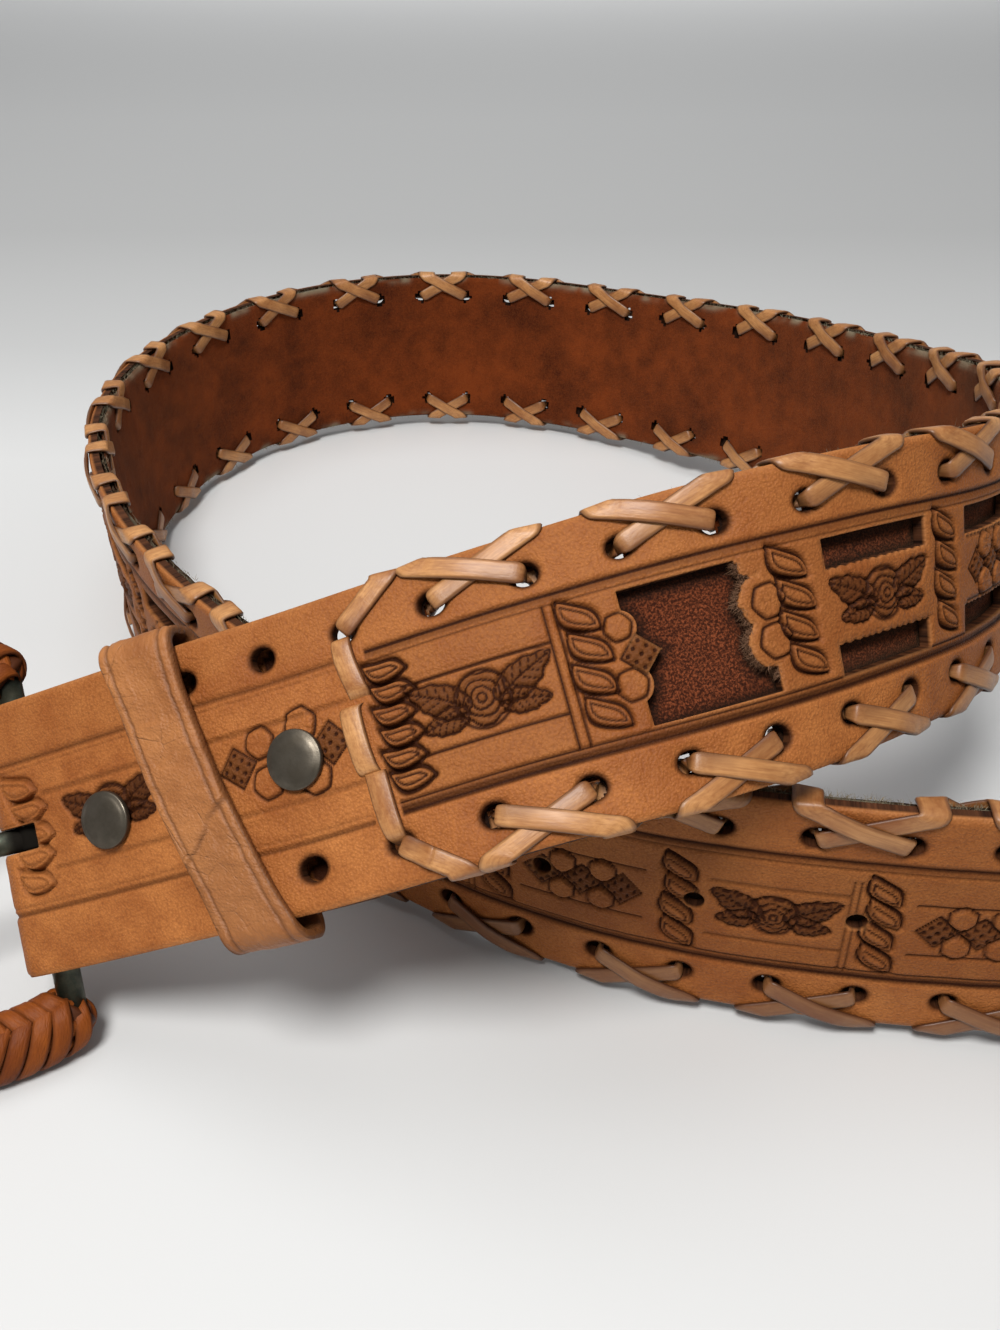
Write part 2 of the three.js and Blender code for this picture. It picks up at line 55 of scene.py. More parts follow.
# How the strap lies: share of its length, heading and outward lean in degrees, lift in strap widths.
lie = np.array([
    (0, -11.5, 35, 0.24),
    (0.05, -7, 41, 0.74),
    (0.1, 7.5, 49, 1.18),
    (0.15, 29, 29, 1.16),
    (0.2, 56, 14, 0.92),
    (0.25, 84, 5, 0.69),
    (0.3, 103.5, -2, 0.42),
    (0.36, 124, -9, 0.19),
    (0.42, 146.5, -10, 0.04),
    (0.49, 188, -7, 0.04),
    (0.56, 236, -3, 0.04),
    (0.63, 274.5, -5, 0.04),
    (0.7, 301, -1, 0.04),
    (0.78, 323.5, -2, 0.04),
    (0.86, 350, 2, 0.04),
    (1, 370, 2, 0.04),
])

# Turned end round the bar, and the buckle on it.
barRadius = 2.2
barPlace = 1.2
foldCentre = -0.1
turnRadius = barRadius + gap + leather
tabLength = 62
tabRampEnd = 14
buckle = {"turn": 44, "shift": -0.9, "halfWidth": 5.75, "halfThickness": 4}
ringLine = np.array([
    (1.3, 24.9, 0.8),
    (0.4, 27.5, 0.9),
    (-3, 29.6, 0.95),
    (-9, 30.8, 1),
    (-17, 31, 1),
    (-27, 29, 1),
    (-35.5, 21.8, 1),
    (-40.5, 11.6, 1),
    (-42, 0, 1),
])

# Lacing holes of both edges.
holeAcross = half - 6.15
holeRadius = 1.75
lastHole = 59
laceStart = {"upper": 67.6, "lower": 68.9}
laceSlack = {"upper": 14.2, "lower": 19}
adjustingStart, adjustingPitch, adjustingCount, adjustingRadius = 789.4, 25.4, 5, 1.7


def laceHole(edge, k):
    """Place along the strap of a lacing hole: evenly punched, a little closer over the back half."""
    ease = np.clip((np.asarray(k, float) - 10) / 40, 0, 1)
    return laceStart[edge] + 14.15 * np.asarray(k, float) - laceSlack[edge] * ease


# Smooth curve of the strap.
def lieColumn(column, share):
    """Cubic through the table's rows, with slopes taken across the neighbouring rows."""
    at, value = lie[:, 0], lie[:, column]
    last = len(at) - 1
    before = np.maximum(np.arange(last + 1) - 1, 0)
    after = np.minimum(np.arange(last + 1) + 1, last)
    slope = (value[after] - value[before]) / (at[after] - at[before])
    i = np.clip(np.searchsorted(at, share) - 1, 0, last - 1)
    span = at[i + 1] - at[i]
    t = np.clip((share - at[i]) / span, 0, 1)
    return (
        value[i] * (2 * t**3 - 3 * t**2 + 1)
        + slope[i] * span * (t**3 - 2 * t**2 + t)
        + value[i + 1] * (3 * t**2 - 2 * t**3)
        + slope[i + 1] * span * (t**3 - t**2)
    )


def strapFrames(step):
    """Places of the strap's middle line and its three directions, as arrays along the strap."""
    s = np.arange(0, strapLength + step / 2, step)
    share = s / strapLength
    heading, lean = np.radians(lieColumn(1, share)), np.radians(lieColumn(2, share))
    height = lieColumn(3, share) * beltWidth + half * np.cos(lean)
    climb = np.arcsin(np.gradient(height, s))
    along = np.stack([np.cos(climb) * np.cos(heading), np.cos(climb) * np.sin(heading), np.sin(climb)], 1)
    upright = np.stack([-np.sin(climb) * np.cos(heading), -np.sin(climb) * np.sin(heading), np.cos(climb)], 1)
    across = upright * np.cos(lean)[:, None] + np.cross(upright, along) * np.sin(lean)[:, None]
    place = np.zeros((len(s), 3))
    place[1:] = np.cumsum((along[1:] + along[:-1]) / 2 * step, axis=0)
    place[:, 2] = height
    return s, place, along, across, np.cross(along, across)


curveS, curvePlace, curveAlong, curveAcross, curveOut = strapFrames(0.25)
low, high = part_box("buckle_bar")
barMiddle = (np.array(low) + np.array(high)) / 2 / mm
barFrom = np.array([barPlace, buckle["shift"], -turnRadius])
startFrame = np.stack([curveAlong[0], curveAcross[0], curveOut[0]])
strapStart = barMiddle - barFrom @ startFrame
curvePlace += strapStart - curvePlace[0]


def onStrap(s, w, n):
    """Points in metres for strap coordinates in millimetres."""
    s, w, n = np.broadcast_arrays(*(np.asarray(v, float) for v in (s, w, n)))
    beyond = np.minimum(s, 0) + np.maximum(s - strapLength, 0)

    def along(table):
        return np.stack([np.interp(s, curveS, table[:, i]) for i in range(3)], -1)

    point = along(curvePlace) + along(curveAlong) * beyond[..., None]
    return (point + along(curveAcross) * w[..., None] + along(curveOut) * n[..., None]) * mm


def onBuckle(x, y, z):
    """Points in metres for the buckle's own directions: origin on the bar, y along it, -x to the far side."""
    turn = math.radians(buckle["turn"])
    x, y, z = np.broadcast_arrays(*(np.asarray(v, float) for v in (x, y, z)))
    local = np.stack([barPlace + x * math.cos(turn) + z * math.sin(turn), y,
                      -turnRadius - x * math.sin(turn) + z * math.cos(turn)], -1)
    return (strapStart + local @ startFrame) * mm


# Camera: its place was found from the belt's edges in the photograph.
cameraFromStart = np.array([79.685, -147.816, 138.82])
cameraPitch = 35.04
cameraLens = 33.34
camera = bpy.data.objects.new("camera", bpy.data.cameras.new("camera"))
bpy.context.collection.objects.link(camera)
camera.location = (strapStart + cameraFromStart) * mm
camera.rotation_euler = (math.radians(90 - cameraPitch), 0, 0)
camera.data.lens = cameraLens
camera.data.sensor_width = 36
camera.data.clip_start = 0.01
bpy.context.scene.camera = camera


# Meshes from arrays.
def meshObject(name, points, faces, values=None):
    """One mesh object. values: name to one number or three for each vertex."""
    mesh = bpy.data.meshes.new(name)
    mesh.from_pydata(np.asarray(points).tolist(), [], np.asarray(faces).tolist())
    for key, data in (values or {}).items():
        data = np.asarray(data, np.float32)
        kind, field = ("FLOAT", "value") if data.ndim == 1 else ("FLOAT_VECTOR", "vector")
        mesh.attributes.new(key, kind, "POINT").data.foreach_set(field, data.ravel())
    mesh.polygons.foreach_set("use_smooth", np.ones(len(mesh.polygons), bool))
    mesh.update()
    made = bpy.data.objects.new(name, mesh)
    bpy.context.collection.objects.link(made)
    return made


def dress(made, body, slot, material, *nodes):
    made.data.materials.append(material)
    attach(made, body)
    if nodes:
        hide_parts(*nodes)
    return made


def gridFaces(rows, columns, closeRows=False, closeColumns=False):
    """Quads of a grid whose vertices run row by row."""
    i = np.arange(rows if closeRows else rows - 1)
    j = np.arange(columns if closeColumns else columns - 1)
    i, j = np.meshgrid(i, j, indexing="ij")
    i2, j2 = (i + 1) % rows, (j + 1) % columns
    return np.stack([i * columns + j, i2 * columns + j, i2 * columns + j2, i * columns + j2], -1).reshape(-1, 4)


def smoothstep(a, b, x):
    t = np.clip((x - a) / (b - a), 0, 1)
    return t * t * (3 - 2 * t)


def ridge(distance, width):
    return np.exp(-((distance / width) ** 2))


def lattice(x, y, seed):
    """Smooth value noise between -1 and 1 on a unit lattice."""
    table = np.random.default_rng(seed).uniform(-1, 1, (256, 256))
    xi, yi = np.floor(x).astype(int), np.floor(y).astype(int)
    fx, fy = x - xi, y - yi
    fx, fy = fx * fx * (3 - 2 * fx), fy * fy * (3 - 2 * fy)
    a, b = table[xi % 256, yi % 256], table[(xi + 1) % 256, yi % 256]
    c, d = table[xi % 256, (yi + 1) % 256], table[(xi + 1) % 256, (yi + 1) % 256]
    return (a * (1 - fx) + b * fx) * (1 - fy) + (c * (1 - fx) + d * fx) * fy


def noise(x, y, size, seed, octaves=3):
    total = 0
    for k in range(octaves):
        total = total + lattice(x / size * 2**k, y / size * 2**k, seed + k) / 2**k
    return total / (2 - 0.5 ** (octaves - 1))


# Tooling stamps. A field holds the strap coordinates of a sheet's vertices with height and stain to fill in.
class Field:
    def __init__(self, s, w):
        self.s, self.w = s, w
        self.height = np.zeros_like(s)
        self.stain = np.zeros_like(s)

    def near(self, s, w, reach):
        return np.nonzero((np.abs(self.s - s) < reach) & (np.abs(self.w - w) < reach))[0]

    def press(self, at, height, stain):
        self.height[at] += height
        self.stain[at] = np.maximum(self.stain[at], stain)


def turned(field, at, s, w, degrees):
    angle = math.radians(degrees)
    x, y = field.s[at] - s, field.w[at] - w
    return x * math.cos(angle) + y * math.sin(angle), y * math.cos(angle) - x * math.sin(angle)


def lineAlong(field, w, start, end, width=0.32, depth=0.4, stain=0.8):
    at = np.nonzero((np.abs(field.w - w) < 1.6) & (field.s > start) & (field.s < end))[0]
    line = ridge(field.w[at] - w, width)
    field.press(at, -depth * line, stain * line)


def lineAcross(field, s, bottom, top, width=0.3, depth=0.35, stain=0.75):
    at = np.nonzero((np.abs(field.s - s) < 1.6) & (field.w > bottom) & (field.w < top))[0]
    line = ridge(field.s[at] - s, width)
    field.press(at, -depth * line, stain * line)


def leafStamp(field, s, w, length=7.6, width=3.8, degrees=-45, curl=0.5, dark=1.0, ground=0.4):
    """A pointed leaf with a doubled outline, on ground that is beaten down round it."""
    at = field.near(s, w, length)
    x, y = turned(field, at, s, w, degrees)
    u = x / (length / 2)
    y = y - curl * (u * u - 0.4) - 0.35 * np.sin(u * 3)
    body = width / 2 * np.clip(1 - np.abs(u) ** 2.2, 0, 1) ** 0.85
    d = np.where(np.abs(u) < 1, np.abs(y) - body, np.hypot(y, (np.abs(u) - 1) * length / 2))
    inside = smoothstep(0.15, -0.4, d)
    line = ridge(d - 0.1, 0.38)
    inner = ridge(d + 0.9, 0.25) * inside
    beaten = ridge(np.maximum(d, 0), 0.75) * (1 - inside)
    height = 0.4 * inside - 0.6 * line - 0.34 * inner - 0.35 * beaten
    field.press(at, height, dark * np.maximum.reduce([1.0 * line, 0.85 * inner, ground * beaten]))


def roseStamp(field, s, w, radius=4.4, tone=0.5):
    """A rose: rings of overlapping petals round a small spiral heart."""
    at = field.near(s, w, radius + 2)
    x, y = turned(field, at, s, w, 0)
    r, angle = np.hypot(x, y), np.arctan2(y, x)
    height, stain = np.zeros_like(r), np.zeros_like(r)
    for k, (ring, petals) in enumerate(((0.16, 1), (0.38, 3), (0.62, 4), (0.88, 5))):
        edge = radius * ring * (1 + 0.13 * np.abs(np.sin(petals * angle / 2 + 1.9 * k)) + 0.06 * angle / math.pi)
        d = r - edge
        line = ridge(d, 0.22)
        height += -0.36 * line + 0.2 * smoothstep(0.1, -0.7, d) * (k + 1) / 3 - 0.14 * ridge(d - 0.34, 0.3)
        stain = np.maximum(stain, 1.0 * line)
    for k in range(5):
        reach = smoothstep(radius * 0.35, radius * 0.6, r) * smoothstep(radius, radius * 0.8, r)
        spoke = np.sin(angle * 2.5 + k) ** 40 * reach
        height -= 0.06 * spoke
    inside = smoothstep(radius * 1.08, radius * 0.9, r)
    height -= 0.3 * ridge(np.maximum(r - radius, 0), 0.6) * (1 - inside)
    stain = np.maximum.reduce([stain, tone * inside, 0.8 * ridge(r - radius * 1.05, 0.4)])
    field.press(at, height, stain)


def wingStamp(field, s, w, side, length=9.5, width=5.6, degrees=24, tone=0.5):
    """A jagged leaf that leaves the rose to one side: side is -1 for left and 1 for right."""
    at = field.near(s + side * length / 2, w, length)
    x, y = turned(field, at, s, w, degrees * side if side > 0 else -degrees)
    x = x * side
    u = np.clip(x / length, -0.2, 1.2)
    teeth = 0.42 * np.abs(np.sin(u * 12.5)) + 0.16 * np.sin(u * 29)
    body = width / 2 * np.clip(np.sin(math.pi * np.clip(u, 0, 1) ** 0.75), 0, 1) ** 0.8 * (0.8 + 0.45 * teeth)
    d = np.where((u > 0) & (u < 1), np.abs(y) - body, 1.5)
    inside = smoothstep(0.12, -0.3, d)
    line = ridge(d, 0.26)
    spine = ridge(y - 0.25 * np.sin(u * 4), 0.2) * inside
    veins = ridge(np.sin((u * 13 - np.abs(y) * 1.1) * 1.6), 0.42) * inside
    ground = ridge(np.maximum(d, 0), 0.5) * (1 - inside)
    height = 0.12 * inside - 0.4 * line - 0.34 * spine - 0.26 * veins - 0.25 * ground
    stain = np.maximum.reduce([1.0 * line, 0.95 * spine, 0.9 * veins, tone * inside, 0.5 * ground])
    field.press(at, height, stain)


def roseSpray(field, s, w, size=1.0, tone=0.55):
    """A rose with two leaves to each side."""
    for side in (-1, 1):
        wingStamp(field, s + side * 1.9 * size, w - 0.9, side, 10.6 * size, 5.4 * size, 29, tone + 0.12)
        wingStamp(field, s + side * 2.4 * size, w - 1.4 * size, side, 7.6 * size, 4.0 * size, -7, tone + 0.12)
    roseStamp(field, s, w, 4.1 * size, tone)


def plateStamp(field, s, w, size=2.7, degrees=8, tone=0.55):
    """A small diamond plate with three rows of three sunk dots."""
    at = field.near(s, w, size * 1.8)
    x, y = turned(field, at, s, w, 45 + degrees)
    d = np.maximum(np.abs(x), np.abs(y)) - size * 0.78
    inside = smoothstep(0.1, -0.15, d)
    pitch = size * 0.5
    fx, fy = x - np.round(x / pitch) * pitch, y - np.round(y / pitch) * pitch
    dots = smoothstep(0.46, 0.2, np.hypot(fx, fy)) * (np.maximum(np.abs(x), np.abs(y)) < pitch * 1.45)
    line = ridge(d, 0.22)
    ring = ridge(d + 0.38, 0.12)
    field.press(at, 0.2 * inside - 0.45 * dots - 0.5 * line - 0.15 * ring,
                np.maximum.reduce([0.95 * dots, 0.9 * line, tone * inside]))


def lobeStamp(field, s, w, size, corners, degrees=0, lift=0.3):
    """A raised pillow with rounded corners and a grooved outline."""
    at = field.near(s, w, size * 2)
    x, y = turned(field, at, s, w, degrees)
    r, angle = np.hypot(x, y), np.arctan2(y, x)
    part = 2 * math.pi / corners
    bend = np.mod(angle, part) - part / 2
    d = r * (0.35 + 0.65 * np.cos(bend)) - size * 0.86
    inside = smoothstep(0.1, -0.5, d)
    line = ridge(d, 0.26)
    facet = 0.12 * ridge(bend, 0.12) * inside
    field.press(at, lift * inside - 0.42 * line + facet, 0.9 * line)


def diamondBar(field, s, w, plates=3, size=2.9):
    """A row of dotted diamond plates with pillows above and below the places where they meet."""
    pitch = size * 2.25
    for k in range(plates):
        place = s + (k - (plates - 1) / 2) * pitch
        plateStamp(field, place, w, size, 0)
        for sign in (-1, 1):
            if k < plates - 1:
                lobeStamp(field, place + pitch / 2, w + sign * 3.0, 2.6, 6, 30)
    for sign in (-1, 1):
        lineAlong(field, w + sign * 5.2, s - plates / 2 * pitch - 0.5, s + plates / 2 * pitch + 0.5, 0.3, 0.34, 0.8)


def leafColumn(field, s, tops=(7.9, 3.1, -1.5, -6.5), size=1.0, degrees=-45):
    for k, w in enumerate(tops):
        leafStamp(field, s + (0.35 if k % 2 else -0.2), w, 7.4 * size, 3.6 * size, degrees)


# Windows: one whole window whose bar is torn out, then pairs of slots with a carved bar between.
panelPitch = 31.8
windowStart = 107.8
windowLength = 20.7
panelCount = 20


def boxDistance(s, w, left, right, bottom, top):
    dx = np.maximum(left - s, s - right)
    dy = np.maximum(bottom - w, w - top)
    return np.where((dx > 0) & (dy > 0), np.hypot(dx, dy), np.maximum(dx, dy))


def sawTooth(s, w, amount=0.34, pitch=1.55):
    return amount * (2 * np.abs(np.mod(s / pitch + 0.17 * np.sin(s * 0.9), 1) - 0.5) - 0.5)


def roundOf(s, w, cs, cw, radius, squeeze=1.0):
    return np.hypot((s - cs) * squeeze, w - cw) - radius


def tornWindow(s, w):
    """Window distance less what still stands in it: a plate on the left, two lobes on each side, torn ends."""
    ragged = 0.5 * noise(s, w, 1.3, 31) + 0.3 * noise(s, w, 0.5, 35)
    window = boxDistance(s, w, windowStart, 128.4, -9.9, 10)
    plate = (np.abs(s - 108.9) + np.abs(w - 0.4) - 3.0) * 0.75
    lobes = np.minimum(roundOf(s, w, 106.9, 4.8, 2.5), roundOf(s, w, 106.6, -3.6, 2.9))
    stubs = np.minimum(roundOf(s, w, 128.4, 3.5, 3.7), roundOf(s, w, 128.3, -2.7, 3.6))
    corner = np.minimum(roundOf(s, w, 127.8, 9.4, 2.2), roundOf(s, w, 127.6, 0.3, 1.5))
    stands = np.minimum.reduce([plate, lobes, stubs + ragged * 0.9, corner + ragged])
    return np.maximum(window, -stands)


def windowDistance(s, w, start, end):
    """Distance in mm to the nearest cut-out, negative inside it."""
    d = np.full(np.shape(s), 50.0)
    for k in range(panelCount):
        left = windowStart + k * panelPitch
        if left > end + 5 or left + windowLength < start - 5:
            continue
        if k == 0:
            d = np.minimum(d, tornWindow(s, w))
            continue
        right = left + windowLength
        d = np.minimum(d, boxDistance(s, w, left, right, 5.5 + sawTooth(s, w), 10.1))
        d = np.minimum(d, boxDistance(s, w, left, right, -10.5, -5.7 - sawTooth(s + 0.7, w)))
    return d


def cutDistance(s, w, start, end):
    """Distance to every hole of the strap in this stretch."""
    d = windowDistance(s, w, start, end)
    for edge, sign in (("upper", 1), ("lower", -1)):
        places = laceHole(edge, np.arange(-2, lastHole + 1))
        places = places[(places > start - 5) & (places < end + 5)]
        for k, place in enumerate(places):
            at = (np.abs(s - place) < 6) & (sign * w > 8)
            stretch = roundOf(s[at], w[at], place, sign * holeAcross, holeRadius + 0.12 * math.sin(k * 2.3), 0.86)
            d[at] = np.minimum(d[at], stretch)
    for place in adjustingStart + adjustingPitch * np.arange(adjustingCount):
        at = np.abs(s - place) < 6
        d[at] = np.minimum(d[at], roundOf(s[at], w[at], place, 0, adjustingRadius))
    return d


# Lines between the laced bands and the panels: place across, width, depth, stain.
bandLines = ((12.2, 0.4, 0.55, 0.95), (11.5, 0.55, 0.2, 0.45), (10.7, 0.24, 0.3, 0.6),
             (-12.0, 0.42, 0.55, 0.9), (-11.3, 0.7, 0.3, 0.66), (-10.5, 0.3, 0.35, 0.8))


def tool(field):
    """Everything carved and pressed into the strap's outer face."""
    s, w = field.s, field.w
    first, last = s.min(), s.max()

    def within(place, reach=14):
        return first - reach < place < last + reach

    # Long lines: doubled near the edges, and two more beside the motifs of the tab.
    for w0, side in ((12, 1), (-12, -1)):
        lineAlong(field, w0 + 0.15 * side, -30, 66, 0.42, 0.42, 0.55)
        lineAlong(field, w0 - 1.0 * side, -30, 66, 0.3, 0.14, 0.22)
        lineAlong(field, w0 - 5.9 * side, 8, 66, 0.5, 0.26, 0.3)
        lineAlong(field, w0 - 5.2 * side, 8, 66, 0.3, -0.12, 0.0)
    for place, *look in bandLines:
        lineAlong(field, place, 70, 955, *look)
    if within(40, 50):
        for k, (place, high) in enumerate(((3.2, 8), (4.6, 4.2), (5.2, 0.4), (4.4, -3.4), (3.6, -7.3))):
            leafStamp(field, place, high, 7.4, 3.7, -26 + 12 * (k % 2), 0.9, 0.42)
        roseSpray(field, 21.6, 0.9, 0.86, 0.55)
        for place, high, turn in ((45.9, 1.1, 5), (61.9, 0.9, -6)):
            plateStamp(field, place, high, 2.9, turn)
        for place, high, size in ((50.3, 4.0, 2.7), (57.6, 4.9, 2.9), (50.6, -2.1, 2.8), (58.3, -3.2, 2.9)):
            lobeStamp(field, place, high, size, 6, 12)
    if within(85, 30):
        for k in range(6):
            leafStamp(field, 72.3 + 0.5 * (k % 2), 8.7 - 3.25 * k, 6.6, 3.1, -17, 0.7, 1.0, 0.95)
        at = np.nonzero((s > 74.6) & (s < 96.4) & (np.abs(w - 0.1) < 5.3))[0]
        field.press(at, -0.12, 0.12)
        for high, side in ((5.4, 1), (-5.2, -1)):
            lineAlong(field, high, 74.6, 96.9, 0.34, 0.4, 0.85)
            lineAlong(field, high + 0.75 * side, 74.6, 96.9, 0.2, 0.16, 0.3)
        lineAcross(field, 74.6, -5.2, 5.4, 0.3, 0.3, 0.7)
        roseSpray(field, 85.6, 0.3, 0.98, 0.45)
        for place in (97.0, 98.6):
            lineAcross(field, place, -10.6, 10.8, 0.3, 0.42, 0.85)
    for k in range(panelCount):
        left = windowStart + k * panelPitch
        if not within(left + 10, 24):
            continue
        leafColumn(field, left - 6.1)
        if k == 0:
            plateStamp(field, 108.9, 0.4, 2.75, 0)
            for place, high, size in ((106.7, 4.9, 2.3), (106.5, -3.6, 2.6), (129.2, 3.2, 2.9), (129.1, -2.6, 2.9)):
                lobeStamp(field, place, high, size, 6, 8)
            continue
        middle = left + windowLength / 2
        if k % 2:
            roseSpray(field, middle, 0.0, 0.92, 0.5)
        else:
            diamondBar(field, middle, 0, 3, 2.75)
    if last > 740:
        for k in range(-1, 5):
            column = 749.4 + 31.5 * k + 31.5
            leafColumn(field, column - 0.2, (6.6, 2.1, -2.6, -7.4), 0.97, -48)
            middle = column + 15.4
            if k % 2:
                for high in (5.2, -6.4):
                    lineAlong(field, high, column + 4.4, column + 26.2, 0.3, 0.3, 0.6)
                roseSpray(field, middle - 0.4, -0.6, 0.92, 0.5)
                for place in (column + 26.2, column + 27.4):
                    lineAcross(field, place, -10.8, 8.4, 0.28, 0.32, 0.6)
            else:
                diamondBar(field, middle, -0.6, 3, 3.0)
    field.stain = np.clip(field.stain, 0, 1)
    panel = smoothstep(10.9, 10.4, np.abs(w)) * smoothstep(69, 71, s)
    free = smoothstep(740, 760, s)
    toned = np.maximum.reduce([field.stain, 0.2 * panel, 0.12 * smoothstep(12.4, 13, w)])
    field.stain = toned + 0.05 * free * (1 - field.stain)


def sheetSurface(s, w, cut, shape, thickness, joined=(), wallSteps=3):
    """A sheet in strap coordinates: grid with its cut-outs, walls down from every edge, corners rounded over."""
    rows, columns = len(s), len(w)
    gs, gw = (a.ravel() for a in np.meshgrid(s, w, indexing="ij"))
    d = cut(gs, gw)
    faces = gridFaces(rows, columns)
    faces = faces[cut(gs[faces].mean(1), gw[faces].mean(1)) > 0]
    used = np.zeros(len(gs), int)
    np.add.at(used, faces.ravel(), 1)
    row, column = np.divmod(np.arange(len(gs)), columns)
    inner = (row > 0) & (row < rows - 1) & (column > 0) & (column < columns - 1)
    rim = np.nonzero((used > 0) & (used < 4) & inner)[0]
    pitch = 0.6 * max(s[1] - s[0], w[1] - w[0])
    for _ in range(3):
        x, y = gs[rim], gw[rim]
        e = 0.02
        at = cut(x, y)
        gx, gy = (cut(x + e, y) - at) / e, (cut(x, y + e) - at) / e
        size = np.maximum(gx * gx + gy * gy, 0.2)
        gs[rim] = x - np.clip(at * gx / size, -pitch, pitch)
        gw[rim] = y - np.clip(at * gy / size, -pitch, pitch)
    keep = np.unique(faces)
    renumber = np.full(len(gs), -1)
    renumber[keep] = np.arange(len(keep))
    faces, gs, gw, d = renumber[faces], gs[keep], gw[keep], cut(gs[keep], gw[keep])
    height, values = shape(gs, gw, d)
    a = faces[:, [0, 1, 2, 3]].ravel()
    b = faces[:, [1, 2, 3, 0]].ravel()
    count = len(gs)
    forward, backward = a.astype(np.int64) * count + b, b.astype(np.int64) * count + a
    open_ = ~np.isin(forward, backward)
    for end in joined:  # no wall where the sheet goes on in the next piece
        open_ &= (np.abs(gs[a] - end) > 0.001) | (np.abs(gs[b] - end) > 0.001)
    a, b = a[open_], b[open_]
    edge = np.unique(np.concatenate([a, b]))
    place = np.full(count, -1)
    place[edge] = np.arange(len(edge))
    allS, allW, allN = [gs], [gw], [height]
    for step in range(1, wallSteps + 1):
        allS.append(gs[edge])
        allW.append(gw[edge])
        allN.append(height[edge] + (-thickness - height[edge]) * step / wallSteps)
    wall = [faces]
    upper = np.stack([a, b])
    for step in range(wallSteps):
        lower = count + step * len(edge) + place[np.stack([a, b])]
        wall.append(np.stack([upper[1], upper[0], lower[0], lower[1]], 1))
        upper = lower
    values = {key: np.concatenate([v] + [v[edge]] * wallSteps) for key, v in values.items()}
    values["wall"] = np.concatenate([np.zeros(count), np.ones(len(edge) * wallSteps)])
    return np.concatenate(allS), np.concatenate(allW), np.concatenate(allN), np.concatenate(wall), values


# The stretch before s = foldCentre is measured round the fold and back along the tab.
foldArc = math.pi * turnRadius
slotEnd = 5.3  # slot for the prong
slotHalf = 2.1
tabSlotEnd = -17.3
tabBack = -leather - gap - leather


def onTurnedStrap(q, w, n):
    """Strap coordinates where q runs on, below foldCentre, round the bar and back along the tab."""
    angle = np.clip((foldCentre - q) / turnRadius, 0, math.pi)
    past = np.clip(foldCentre - foldArc - q, 0, None)
    ramp = smoothstep(1, tabRampEnd, past)
    base = np.where(past > 0, -2 * turnRadius + (2 * turnRadius + tabBack) * ramp, -turnRadius + turnRadius * np.cos(angle))
    flat = np.where(q > foldCentre, q, foldCentre + past)
    s = flat - (turnRadius + n) * np.sin(angle) * (past <= 0)
    level = np.where(past > 0, base - n, base + n * np.cos(angle))
    return onStrap(s, w, level)


def strapShape(s, w, d):
    """Height and surface values of the tooled face: carving, rounded rims, gentle waves and hole dimples."""
    field = Field(s, w)
    tool(field)
    carve = field.height * smoothstep(0.0, 0.7, d)
    edge = half - np.abs(w)
    roll = -0.45 * ridge(np.maximum(edge, 0), 0.55) - 0.28 * ridge(np.maximum(d, 0), 0.45)
    dimple = -0.22 * ridge(np.maximum(d, 0), 1.3) * (np.abs(w) > 12.5) * (d < 6)
    waves = 0.14 * noise(s, w, 9, 3, 2) + 0.05 * noise(s, w, 2.2, 7, 2)
    height = carve + roll + dimple + waves * smoothstep(0, 0.5, edge)
    worn = np.maximum(ridge(edge, 0.5), 0.8 * ridge(np.maximum(d, 0), 0.35) * (np.abs(w) < 11.5))
    values = {
        "stain": np.maximum(field.stain, 0.75 * ridge(np.maximum(d, 0), 0.5) * (np.abs(w) > 12.5)),
        "worn": worn,
        "lay": np.stack([s, w, height], 1) * mm,
    }
    return height, values


def strapPiece(name, start, end, pitch, acrossPitch):
    s = np.linspace(start, end, int(round((end - start) / pitch)) + 1)
    border = np.linspace(11.5, half, int(round((half - 11.5) / acrossPitch / 1.5)) + 1)
    middle = np.linspace(-11.5, 11.5, int(round(23 / acrossPitch)) + 1)
    w = np.concatenate([-border[::-1], middle[1:-1], border])

    def cut(x, y):
        d = cutDistance(x, y, start, end)
        if start < 20:
            slot = boxDistance(x, y, -9, slotEnd, -slotHalf, slotHalf)
            d = np.minimum(d, slot)
        return d

    gs, gw, gn, faces, values = sheetSurface(s, w, cut, strapShape, leather, [start] if end >= strapLength else [start, end])
    if end >= strapLength - 1:
        gw = gw * tipShare(gs)
    points = onTurnedStrap(gs, gw, gn)
    made = meshObject(name, points, faces, values)
    return dress(made, "belt", "tooled_leather", materials["strap"], "tooled_strap")


def tipShare(s):
    """The tip narrows to a blunt point, as a share of the strap's width."""
    return np.interp(s, strapLength - np.array([40, 25, 15, 7, 2, 0]), [1, 0.95, 0.84, 0.65, 0.42, 0.24])


print("stage: materials")


